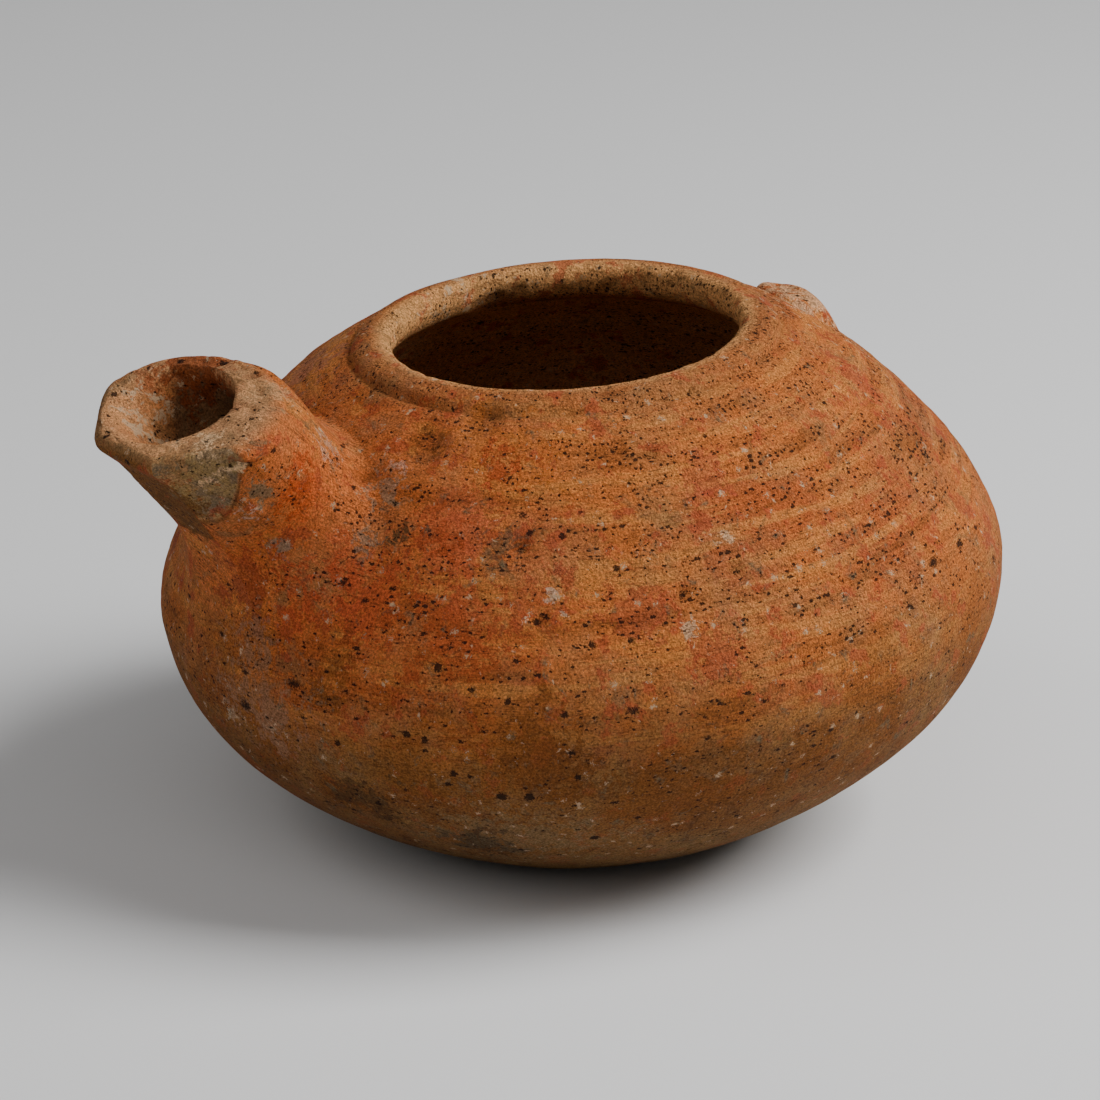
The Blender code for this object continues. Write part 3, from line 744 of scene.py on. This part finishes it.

# Painted light: a pale tone on the wall of the hole and on the vault just inside it, for the light that
# falls in through the hole
hole_painted_light = add(paint, RANGE, (out_from_axis, 19.6, 18.2, 0.0, 0.65))
hole_painted_light = add(paint, MATH, (hole_painted_light, at_rim_height), "MULTIPLY")
vault_painted_light = add(paint, RANGE, (out_from_axis, 27.0, 20.0, 0.0, 0.85))
vault_painted_light = add(paint, MATH, (vault_painted_light, inside), "MULTIPLY")
hole_painted_light = add(paint, MATH, (hole_painted_light, vault_painted_light), "MAXIMUM")
colour = add(paint, MIX, {0: hole_painted_light, 6: colour, 7: linear("E8AC6C")}, out=2, data_type="RGBA")

# Rose-red mottling, 2 to 4 mm across
outer_skin = add(paint, RANGE, (mouth, 0.0, 0.15, 1.0, 0.25))
reddened = add(paint, RANGE, (axes["Z"], 18.0, 30.0, 0.4, 1.0))
rosy = add(paint, RANGE, (rose, 0.56, 0.60, 0.0, 0.65))
for limit in (outer_skin, reddened):
    rosy = add(paint, MATH, (rosy, limit), "MULTIPLY")
colour = add(paint, MIX, {0: rosy, 6: colour, 7: linear("A6452A")}, out=2, data_type="RGBA")

# Single stains, scorches and deposits in mm, and one painted highlight: place, reach, colour and strength.
# Noise breaks them up, so none of them is a round spot.
broken = add(paint, MATH, (ragged, blotch), "ADD")
broken = add(paint, MATH, (broken, 0.5), "MULTIPLY")
torn = {}
for kind, noise in (("small", ragged), ("wide", broken)):
    torn[kind] = add(paint, RANGE, (noise, 0.36, 0.64, 0.0, 1.7))
for middle, reach, tone, strength in (
    ((4.0, -42.0, 27.0), 18.0, "6E441E", 0.35),
    ((17.5, -17.5, 47.5), 9.0, "C66C28", 0.55),
    ((13.0, -33.5, 44.5), 6.0, "D2723A", 0.50),
    ((21.8, -25.6, 41.2), 9.0, "C4603A", 0.65),
    ((14.5, -37.0, 37.5), 9.0, "C4603A", 0.60),
    ((8.0, -41.5, 36.5), 7.0, "B85230", 0.65),
    ((12.0, -37.8, 35.6), 8.0, "C2542E", 0.70),
    ((18.5, -34.0, 37.0), 10.0, "C2542E", 0.70),
    ((25.5, -29.0, 36.0), 9.0, "C05630", 0.65),
    ((33.8, -25.9, 23.2), 11.0, "9C5A26", 0.60),
    ((9.6, -41.4, 22.8), 8.0, "A47254", 0.60),
    ((3.7, -42.3, 22.3), 1.6, "C8B090", 0.75),
    ((10.4, -41.2, 22.4), 1.4, "C8B090", 0.75),
    ((28.0, -25.0, 12.0), 14.0, "8A7250", 0.50),
    ((30.5, -22.5, 37.5), 7.0, "B0502E", 0.60),
    ((17.5, -30.0, 42.5), 6.5, "B04C26", 0.65),
    ((11.6, -37.0, 46.5), 5.0, "BE4D18", 0.75),
    ((19.4, -18.8, 47.3), 4.0, "AC4522", 0.70),
    ((18.5, 22.8, 45.3), 5.5, "B04A2C", 0.70),
    ((35.3, -13.5, 36.2), 5.5, "AC5030", 0.60),
    ((40.2, -7.9, 31.2), 4.5, "A8482C", 0.60),
    ((24.9, -30.7, 33.8), 9.0, "AC5024", 0.50),
    ((29.2, -2.4, 45.3), 4.0, "AC5034", 0.55),
    ((7.5, -40.5, 35.5), 6.0, "64431E", 0.25),
    ((-15.0, -21.0, 48.0), 9.0, "AC6C50", 0.65),
    ((14.0, -31.0, 44.5), 7.0, "D8763E", 0.45),
    ((3.0, -47.0, 42.5), 7.0, "6B451B", 0.85),
    ((17.0, -38.0, 30.0), 6.0, "6A3E16", 0.50),
    ((8.8, -42.0, 25.5), 11.0, "9C6C4C", 0.75),
    ((18.0, -36.0, 17.0), 8.0, "4E3A20", 0.65),
    ((8.1, -31.6, 49.0), 2.8, "C9987A", 0.70),
    ((12.3, -27.8, 44.5), 3.2, "8F7C62", 0.65),
    ((16.5, -29.0, 41.5), 2.0, "4C4427", 0.75),
    ((14.2, -31.3, 41.0), 2.6, "80725C", 0.65),
    ((11.6, -25.7, 46.3), 1.9, "CB9678", 0.75),
    ((12.2, -23.2, 47.8), 3.0, "5A3A1E", 0.45),
    ((25.2, -22.2, 41.2), 3.2, "62503A", 0.60),
    ((10.2, -41.0, 45.1), 1.7, "CDA488", 0.90),
    ((11.2, -40.0, 47.4), 3.6, "7A6B4E", 0.80),
    ((38.2, -9.9, 33.8), 1.4, "CFA882", 0.75),
    ((34.6, -3.3, 40.1), 1.5, "CFA882", 0.75),
    ((30.8, -20.3, 37.4), 1.0, "D3B496", 0.65),
    ((32.4, -20.0, 36.1), 0.9, "D3B496", 0.70),
    ((30.6, -23.2, 35.8), 0.8, "D3B496", 0.70),
    ((10.0, -38.2, 40.4), 1.6, "857660", 0.75),
    ((24.5, -25.8, 10.6), 7.0, "453B2C", 0.65),
    ((6.0, -46.0, 46.0), 5.5, "7A4E22", 0.75),
    ((-6.5, -37.5, 54.6), 9.0, "8E421C", 0.85),
    # A painted highlight: the near edge of the lip made paler where the light grazes it
    ((9.0, -45.0, 52.3), 5.5, "F0C494", 0.80),
    ((6.5, -34.8, 54.4), 4.5, "CFA070", 0.60),
    ((0.0, 31.0, 49.0), 14.0, "DAA87C", 0.80),
    ((7.5, -47.5, 50.8), 3.2, "AE7C4E", 0.85),
    ((-7.6, -44.0, 50.4), 5.0, "DE9C66", 0.55),
    ((-10.5, -41.0, 53.0), 4.0, "A0552F", 0.65),
    ((35.0, -23.6, 22.0), 9.0, "6E3C12", 0.45),
):
    stain_and_highlight = add(paint, VECTOR, (spot, middle), "DISTANCE", out="Value")
    ends = torn["small" if reach < 3.5 else "wide"]
    stain_and_highlight = add(paint, MATH, (ends, reach, stain_and_highlight), "MULTIPLY_ADD")
    stain_and_highlight = add(paint, RANGE, (stain_and_highlight, 1.15 * reach, 1.35 * reach, strength, 0.0))
    colour = add(paint, MIX, {0: stain_and_highlight, 6: colour, 7: linear(tone)}, out=2, data_type="RGBA")

# Fine lines that grit scored round the wall on the wheel, a fifth of a millimetre wide
scored = add(paint, NOISE, {"Vector": streak_place, "Scale": 1.7, "Detail": 2.0, "Roughness": 0.5})
scored = add(paint, MATH, (scored, 0.5, 0.014), "COMPARE")
kept = add(paint, RANGE, (rose, 0.48, 0.56, 0.45, 0.0))
for limit in (kept, outer_skin):
    scored = add(paint, MATH, (scored, limit), "MULTIPLY")
colour = add(paint, MIX, {0: scored, 6: colour, 7: linear("5A3216")}, out=2, data_type="RGBA")

# Grey-green stains, 1 to 3 mm across, thickest on the shoulder by the nozzle
stain = add(paint, RANGE, (smudge, 0.60, 0.68, 0.0, 0.75))
colour = add(paint, MIX, {0: stain, 6: colour, 7: linear("6E6046")}, out=2, data_type="RGBA")

# Grit from a tenth to a third of a millimetre, light and dark
gritty = add(paint, RANGE, (grit, 0.32, 0.68, 0.42, 1.66))
colour = add(paint, VECTOR, {0: colour, "Scale": gritty}, "SCALE")

# Lime: thin pale smudges of 1 to 2 mm, and ragged specks of a third of a millimetre
lime = add(paint, VECTOR, (spot, (41.0, 13.0, 7.0)), "ADD")
lime = {"Vector": lime, "Scale": 0.75, "Detail": 7.0, "Roughness": 0.72, "Distortion": 0.4}
lime = add(paint, NOISE, lime)
for middle, reach, gain in (((-7.8, -43.4, 50.6), 6.0, 0.13), ((-17.0, -2.0, 50.5), 10.0, 0.09)):
    deposit = add(paint, VECTOR, (spot, middle), "DISTANCE", out="Value")
    deposit = add(paint, RANGE, (deposit, 0.3 * reach, reach, gain, 0.0))
    lime = add(paint, MATH, (lime, deposit), "ADD")
limed = add(paint, RANGE, (lime, 0.635, 0.675, 0.0, 0.85))
speck = add(paint, "ShaderNodeTexVoronoi", {"Vector": spot, "Scale": 1 / 1.5}, out="Distance")
speck_kind = add(paint, "ShaderNodeSeparateXYZ", (speck.node.outputs["Color"],), out="Y")
speck_size = add(paint, RANGE, (speck_kind, 0.58, 1.0, 0.0, 0.27))
speck = add(paint, MATH, (grit, 1.4, speck), "MULTIPLY_ADD")
speck = add(paint, MATH, (speck_size, speck), "SUBTRACT")
speck = add(paint, RANGE, (speck, -0.66, -0.58, 0.0, 0.8))
limed = add(paint, MATH, (limed, speck), "MAXIMUM")
colour = add(paint, MIX, {0: limed, 6: colour, 7: linear("DAB68F")}, out=2, data_type="RGBA")

# Pores that burnt-out straw and grit left, drawn out round the wall. The three kinds are a tenth,
# a fifth and a half of a millimetre in radius, and the small ones lie in bands.
turn = add(paint, MATH, (axes["Y"], -1.0), "MULTIPLY")
turn = add(paint, MATH, (axes["X"], turn), "ARCTAN2")
turn = add(paint, MATH, (turn, 25.0), "MULTIPLY")
pore_place = add(paint, "ShaderNodeCombineXYZ", {"X": turn, "Y": out_from_axis, "Z": axes["Z"]})
band = add(paint, MATH, (streak, rose), "ADD")
band = add(paint, RANGE, (band, 0.88, 1.12, 0.15, -0.18))
fewer = add(paint, RANGE, (axes["Z"], 20.0, 38.0, -0.12, 0.0))
band = add(paint, MATH, (band, fewer), "ADD")
smoother = add(paint, RANGE, (mouth, 0.0, 0.2, 0.0, 0.07))
smoother = add(paint, MATH, (luted, 0.06, smoother), "MULTIPLY_ADD")
band = add(paint, MATH, (band, smoother), "SUBTRACT")
pores = None
for spacing, rarity, width in ((0.45, 0.15, 0.34), (1.25, 0.50, 0.23), (4.0, 0.55, 0.14)):
    pore = add(paint, "ShaderNodeTexVoronoi", {"Vector": pore_place, "Scale": 1 / spacing}, out="Distance")
    pore_kind = add(paint, "ShaderNodeSeparateXYZ", (pore.node.outputs["Color"],), out="Z")
    pore_size = add(paint, RANGE, (pore_kind, rarity, 1.0, 0.0, width))
    pore = add(paint, MATH, (grit, 0.62 / spacing**0.5, pore), "MULTIPLY_ADD")
    if spacing < 1:
        pore = add(paint, MATH, (pore, band), "SUBTRACT")
    pore = add(paint, MATH, (pore_size, pore), "SUBTRACT")
    pore_edge = 0.325 / spacing**0.5
    pore = add(paint, RANGE, (pore, -pore_edge, 0.07 - pore_edge))
    pores = pore if pores is None else add(paint, MATH, (pores, pore), "MAXIMUM")

# The widest holes, in mm: place and radius
for middle, reach in (
    ((31.5, -21.6, 35.9), 0.42), ((31.1, -22.4, 35.5), 0.45), ((36.4, -9.3, 36.6), 0.50),
    ((36.6, -3.4, 37.6), 0.50), ((26.3, -20.9, 41.2), 0.55), ((26.3, -6.2, 47.2), 0.60),
    ((24.7, -8.7, 47.8), 0.40), ((26.0, -19.7, 42.3), 0.40), ((28.0, -17.3, 41.9), 0.40),
    ((32.5, -14.2, 39.2), 0.40), ((26.6, -30.9, 31.6), 0.50), ((35.0, -18.8, 33.4), 0.40),
    ((36.6, -15.4, 33.5), 0.40), ((42.2, 0.5, 28.6), 0.50), ((9.5, -28.9, 45.5), 0.50),
    ((-4.7, -35.7, 55.0), 0.70), ((1.2, -35.4, 55.1), 0.55), ((-8.8, -38.3, 54.3), 0.45),
    ((12.6, -44.6, 51.4), 0.45), ((5.5, -45.3, 45.5), 0.45), ((11.1, -41.7, 53.3), 0.35),
    ((-2.9, -49.7, 51.0), 0.40), ((-10.0, -45.2, 52.2), 0.40), ((12.6, -39.4, 51.6), 0.40),
    ((14.5, -17.6, 49.6), 0.45), ((25.5, -34.3, 25.2), 0.45), ((26.9, -33.1, 24.8), 0.42),
    ((28.5, -31.1, 21.3), 0.48), ((31.0, -27.5, 18.7), 0.58), ((32.7, -25.4, 18.7), 0.60),
    ((36.0, -21.8, 20.9), 0.40), ((19.5, -34.9, 15.9), 0.42), ((32.4, -26.8, 28.9), 0.40),
    ((35.9, -22.7, 27.6), 0.40), ((18.6, -38.3, 22.9), 0.40), ((32.1, -18.3, 12.0), 0.55),
):
    hole = add(paint, VECTOR, (spot, middle), "DISTANCE", out="Value")
    hole = add(paint, MATH, (grit, 1.3 * reach**0.5, hole), "MULTIPLY_ADD")
    rim_in = reach + 0.62 * reach**0.5
    hole = add(paint, RANGE, (hole, rim_in - 0.12, rim_in, 1.0, 0.0))
    pores = add(paint, MATH, (pores, hole), "MAXIMUM")
shade = add(paint, MATH, (pores, 0.88), "MULTIPLY")
colour = add(paint, MIX, {0: shade, 6: colour, 7: linear("221108")}, out=2, data_type="RGBA")
# The colour made darker in the hollows of the worn surface, down to six tenths where they are deepest
darker_in_hollows = add(paint, RANGE, (hollow, 0.1, 0.7, 1.0, 0.6))
colour = add(paint, VECTOR, {0: colour, "Scale": darker_in_hollows}, "SCALE")
paint.links.new(colour, shader.inputs["Base Color"])

grain_rise = add(paint, MATH, (grain, 1.0, grit), "MULTIPLY_ADD")
grain_rise = add(paint, MATH, (smudge, 1.5, grain_rise), "MULTIPLY_ADD")
grain_rise = add(paint, MATH, (scored, -1.0, grain_rise), "MULTIPLY_ADD")
skin = add(paint, MATH, (pores, -1.6, grain_rise), "MULTIPLY_ADD")
bump = add(paint, "ShaderNodeBump", {"Height": skin, "Strength": 1.0, "Distance": 0.00055})
paint.links.new(bump, shader.inputs["Normal"])


# The worn surface: what the potter's fingers, the knife, burnt-out grit and long burial left in the
# clay. It is pushed into the mesh itself, so that it shows from every side and in the outline.

# The ridges in mm: radius, and height on a scale where 0.5 is the wall itself
FIRST_RIDGE = 22.0
RIDGES_WIDTH = 22.0
RIDGES = (
    (22.2, 0.50), (23.9, 0.85), (25.9, 0.30), (28.9, 0.95), (30.4, 0.35), (32.1, 0.70), (33.6, 0.40),
    (35.2, 0.75), (37.0, 0.50), (38.4, 0.75), (39.1, -0.10), (39.8, 0.70), (41.2, 0.50), (44.0, 0.50),
)

# Single hollows in mm, as they came off the wheel: place, half-width and depth, below 0 if raised
HOLLOWS = (
    ((11.9, -23.0, 48.0), 3.2, 0.50),
    ((14.5, -17.6, 49.6), 2.6, 0.40),
    ((9.5, -28.9, 45.5), 1.5, 0.45),
    ((11.4, -25.9, 46.5), 1.5, -0.30),
    ((31.3, -22.0, 35.6), 1.0, 0.45),
    ((26.3, -20.9, 41.2), 1.2, 0.45),
    ((26.3, -6.2, 47.2), 1.3, 0.45),
    ((24.7, -8.7, 47.8), 1.2, 0.40),
    ((36.4, -9.3, 36.6), 1.1, 0.45),
    ((36.6, -3.4, 37.6), 1.1, 0.45),
    ((42.2, 0.5, 28.6), 1.1, 0.40),
    ((18.8, -6.7, 51.4), 1.6, 0.35),
    ((-17.3, 2.1, 48.4), 4.0, 0.45),
    ((10.3, -41.0, 45.1), 1.5, -0.40),
    ((-4.7, -35.7, 55.0), 1.4, 0.40),
    ((1.2, -35.4, 55.1), 1.3, 0.35),
    ((12.6, -44.0, 51.4), 1.3, 0.40),
)


wear = bpy.data.node_groups.new("worn clay surface", "GeometryNodeTree")
wear_inputs = {
    "Ridge height": 0.52,
    "Swell height": 0.26,
    "Swell width": 19.0,
    "Dent height": 0.10,
    "Dent width": 5.5,
    "Rill height": 0.07,
    "Pock depth": 0.16,
    "Pock spacing": 4.2,
    "Crumble depth": 0.42,
    "Crumble width": 1.7,
    "Seed": 7.0,
}
wear.interface.new_socket("Geometry", in_out="INPUT", socket_type="NodeSocketGeometry")
for name, value in wear_inputs.items():
    wear.interface.new_socket(name, in_out="INPUT", socket_type="NodeSocketFloat")
wear.interface.new_socket("Clay", in_out="INPUT", socket_type="NodeSocketMaterial")
wear.interface.new_socket("Geometry", in_out="OUTPUT", socket_type="NodeSocketGeometry")
size = add(wear, "NodeGroupInput").node.outputs

metres = add(wear, "GeometryNodeInputPosition")
place = add(wear, VECTOR, {0: metres, "Scale": 1000.0}, "SCALE")
axes, radius, rill_place = wheel_places(wear, place, 4.0)
height = axes["Z"]
luted, mouth, pared = [
    add(wear, "GeometryNodeInputNamedAttribute", {"Name": name}, data_type="FLOAT")
    for name in ("luted", "mouth", "pared")
]

# The noises as wide as their inputs say, for the swells, the dents and the crumbling
noises = {}
for name, detail in (("Swell", 1.0), ("Dent", 3.0), ("Crumble", 3.0)):
    scale = add(wear, MATH, (1.0, size[f"{name} width"]), "DIVIDE")
    noise = {"Vector": place, "W": size["Seed"], "Scale": scale, "Detail": detail}
    noises[name] = add(wear, NOISE, noise, noise_dimensions="4D")

# Swells and dents: the thrown wall was never quite true
uneven = {}
for name in ("Swell", "Dent"):
    centred = add(wear, MATH, (noises[name], 0.5), "SUBTRACT")
    uneven[name] = add(wear, MATH, (centred, size[f"{name} height"]), "MULTIPLY")
relief = add(wear, MATH, (uneven["Swell"], uneven["Dent"]), "ADD")
relief = add(wear, MATH, (relief, 2.0), "MULTIPLY")

# Ridges that the fingers left round the shoulder, a little wavy and here and there rubbed down
wave = add(wear, NOISE, {"Vector": place, "W": 3.0, "Scale": 0.06, "Detail": 2.0}, noise_dimensions="4D")
wave = add(wear, MATH, (wave, 0.5), "SUBTRACT")
wave = add(wear, MATH, (wave, 3.0, radius), "MULTIPLY_ADD")
across = add(wear, RANGE, (wave, FIRST_RIDGE, FIRST_RIDGE + RIDGES_WIDTH))
ridge = add(wear, "ShaderNodeFloatCurve", {"Value": across})
line = ridge.node.mapping.curves[0]
for number, (ridge_radius, ridge_height) in enumerate(RIDGES):
    knot = ((ridge_radius - FIRST_RIDGE) / RIDGES_WIDTH, ridge_height)
    if number in (0, len(RIDGES) - 1):
        line.points[min(number, 1)].location = knot
    else:
        line.points.new(*knot)
ridge.node.mapping.update()
ridge = add(wear, MATH, (ridge, 0.5), "SUBTRACT")
rubbed = add(wear, NOISE, {"Vector": place, "W": 11.0, "Scale": 0.09, "Detail": 2.0}, noise_dimensions="4D")
rubbed = add(wear, RANGE, (rubbed, 0.38, 0.6, 0.4, 1.2))
upper = add(wear, RANGE, (height, 25.0, 28.0))
for share in (rubbed, upper, size["Ridge height"]):
    ridge = add(wear, MATH, (ridge, share), "MULTIPLY")

# Rills: fine lines that grit drew round the wall under the potter's hand
rill = add(wear, NOISE, {"Vector": rill_place, "Scale": 0.9, "Detail": 3.0})
rill = add(wear, MATH, (rill, 0.5), "SUBTRACT")
for share in (size["Rill height"], 3.0):
    rill = add(wear, MATH, (rill, share), "MULTIPLY")
thrown_marks = add(wear, MATH, (ridge, rill), "ADD")
bare = add(wear, MATH, (1.0, luted), "SUBTRACT")
thrown_marks = add(wear, MATH, (thrown_marks, bare), "MULTIPLY")
relief = add(wear, MATH, (relief, thrown_marks), "ADD")

# Pocks: shallow pits where the skin of the clay has flaked off a grain
pock_scale = add(wear, MATH, (1.0, size["Pock spacing"]), "DIVIDE")
near = add(wear, "ShaderNodeTexVoronoi", {"Vector": place, "Scale": pock_scale}, out="Distance")
pock = add(wear, RANGE, (near, 0.05, 0.30, 1.0, 0.0), interpolation_type="SMOOTHSTEP")
chance = add(wear, "ShaderNodeSeparateXYZ", (near.node.outputs["Color"],), out="X")
chance = add(wear, RANGE, (chance, 0.45, 1.0))
for share in (chance, size["Pock depth"]):
    pock = add(wear, MATH, (pock, share), "MULTIPLY")
hollow = pock
for middle, half_width, depth in HOLLOWS:
    away = add(wear, VECTOR, (place, middle), "DISTANCE", out="Value")
    rough = add(wear, MATH, (uneven["Dent"], 9.0, away), "MULTIPLY_ADD")
    dip = (rough, half_width * 0.35, half_width, depth, 0.0)
    dip = add(wear, RANGE, dip, interpolation_type="SMOOTHSTEP")
    hollow = add(wear, MATH, (hollow, dip), "ADD")

# Crumbling round the nozzle's mouth and down the wall of the hole
crumbly = add(wear, RANGE, (mouth, 0.05, 0.2))
hole_wall = add(wear, RANGE, (radius, 18.4, 17.8))
above = add(wear, RANGE, (height, 46.0, 47.5))
hole_wall = add(wear, MATH, (hole_wall, above), "MULTIPLY")
crumbly = add(wear, MATH, (crumbly, hole_wall), "MAXIMUM")
crumble = add(wear, RANGE, (noises["Crumble"], 0.48, 0.72))
for share in (crumbly, size["Crumble depth"]):
    crumble = add(wear, MATH, (crumble, share), "MULTIPLY")
hollow = add(wear, MATH, (hollow, crumble), "ADD")

# The knife: a burr along the lower edge of each cut, and drag lines across it
cut_depth = add(wear, MATH, (pared,), "ABSOLUTE")
low = add(wear, RANGE, (height, 49.0, 46.5))
burr = add(wear, RANGE, (cut_depth, 0.0, 0.06, 0.0, 0.12))
burr = add(wear, MATH, (burr, low), "MULTIPLY")
flat = add(wear, RANGE, (cut_depth, 0.10, 0.50, 0.0, 0.15))
flat = add(wear, MATH, (flat, low), "MULTIPLY")
drag_place = add(wear, VECTOR, (place, (0.5, 0.5, 3.0)), "MULTIPLY")
drag = add(wear, NOISE, {"Vector": drag_place, "Scale": 0.8, "Detail": 2.0})
drag = add(wear, RANGE, (drag, 0.4, 0.7, 0.0, 0.5))
drag = add(wear, MATH, (drag, flat), "MULTIPLY")
hollow = add(wear, MATH, (hollow, drag), "ADD")
relief = add(wear, MATH, (relief, burr), "ADD")
for depth in (flat, hollow):
    relief = add(wear, MATH, (relief, depth), "SUBTRACT")

way_out = add(wear, "GeometryNodeInputNormal")
shift = add(wear, MATH, (relief, 0.001), "MULTIPLY")
shift = add(wear, VECTOR, {0: way_out, "Scale": shift}, "SCALE")
marked = {"Geometry": size["Geometry"], "Name": "hollow", "Value": hollow}
marked = add(wear, "GeometryNodeStoreNamedAttribute", marked, data_type="FLOAT", domain="POINT")
pressed = add(wear, "GeometryNodeSetPosition", {"Geometry": marked, "Offset": shift})
joined = add(wear, "GeometryNodeRealizeInstances", {"Geometry": pressed})
coated = add(wear, "GeometryNodeSetMaterial", {"Geometry": joined, "Material": size["Clay"]})
add(wear, "NodeGroupOutput", {"Geometry": coated})

press = thrown.modifiers.new("worn clay surface", "NODES")
press.node_group = wear
for item in wear.interface.items_tree:
    if item.in_out == "INPUT" and item.name in wear_inputs:
        press[item.identifier] = wear_inputs[item.name]
    elif item.name == "Clay":
        press[item.identifier] = fired
seen = thrown.evaluated_get(bpy.context.evaluated_depsgraph_get())
worn_mesh = bpy.data.meshes.new_from_object(seen)
lamp = bpy.data.objects.new("lamp_clay", worn_mesh)
scene_objects.link(lamp)
bpy.data.objects.remove(thrown)


# The rest: the underside is a shallow curve that has worn flat where the lamp stands, a little
# behind its middle, so the whole lamp leans back a few degrees with its nozzle lifted.

pivot = Matrix.Translation((0.0, 0.0, pivot_height))
lamp.data.transform(pivot @ Matrix.Rotation(math.radians(LEAN), 4, "X") @ pivot.inverted())
form = bmesh.new()
form.from_mesh(lamp.data)
everything = form.verts[:] + form.edges[:] + form.faces[:]
bmesh.ops.bisect_plane(
    form, geom=everything, dist=1e-6, plane_co=(0, 0, 0), plane_no=(0, 0, 1), clear_inner=True
)
worn_edge = [edge for edge in form.edges if edge.is_boundary]
for edge in worn_edge:
    edge.smooth = False
bmesh.ops.contextual_create(form, geom=worn_edge)
bmesh.ops.recalc_face_normals(form, faces=form.faces[:])
form.to_mesh(lamp.data)
form.free()


# Floor, light and camera: a plain pale floor, a soft key light from the upper right behind, weak
# wide fills from the left and the front, and the photograph's low three-quarter view.

VIEW_TURN = 60
VIEW_RISE = 20
VIEW_FROM = (0.45356, -0.26376, 0.21834)
FLOOR_REACH = 4.0

camera_data = bpy.data.cameras.new("camera")
camera_data.lens = 180
camera_data.sensor_width = 36
camera_data.clip_start = 0.05
camera = bpy.data.objects.new("camera", camera_data)
turn = math.radians(VIEW_TURN)
rise = math.radians(VIEW_RISE)
right = Vector((math.cos(turn), math.sin(turn), 0.0))
upright = Vector((-right.y * math.sin(rise), right.x * math.sin(rise), math.cos(rise)))
ahead = upright.cross(right)
facing = Matrix((right, upright, -ahead)).transposed().to_4x4()
camera.matrix_world = Matrix.Translation(VIEW_FROM) @ facing
scene_objects.link(camera)
bpy.context.scene.camera = camera

floor_finish = bpy.data.materials.new("pale matt floor")
floor_finish.use_nodes = True
floor_shader = floor_finish.node_tree.nodes["Principled BSDF"]
floor_shader.inputs["Base Color"].default_value = linear("DCDCDC")
floor_shader.inputs["Roughness"].default_value = 1.0
floor_shader.inputs["Specular IOR Level"].default_value = 0.0
floor_mesh = bpy.data.meshes.new("floor")
corners = [(x * FLOOR_REACH, y * FLOOR_REACH, 0) for x, y in ((-1, -1), (1, -1), (1, 1), (-1, 1))]
floor_mesh.from_pydata(corners, [], [(0, 1, 2, 3)])
floor_mesh.materials.append(floor_finish)
floor = bpy.data.objects.new("floor", floor_mesh)
scene_objects.link(floor)

# Each light: name, power, width and where it hangs. They all face the lamp's middle.
lit_place = Vector((0.0, 0.0, 0.03))
for name, power, width, stand in (
    ("key", 5.5, 0.34, (0.24, 0.36, 0.43)),
    ("left fill", 1.5, 0.60, (-0.15, -0.62, 0.50)),
    ("front fill", 0.9, 0.60, (0.42, -0.34, 0.62)),
):
    soft_box = bpy.data.lights.new(name, "AREA")
    soft_box.energy = power
    soft_box.size = width
    light = bpy.data.objects.new(name, soft_box)
    light.location = stand
    light.rotation_euler = (lit_place - Vector(stand)).to_track_quat("-Z", "Y").to_euler()
    scene_objects.link(light)
sky = bpy.data.worlds.new("room")
sky.use_nodes = True
sky.node_tree.nodes["Background"].inputs["Color"].default_value = (1.0, 1.0, 1.0, 1.0)
sky.node_tree.nodes["Background"].inputs["Strength"].default_value = 0.14
bpy.context.scene.world = sky

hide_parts("lamp")
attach(lamp, "root")
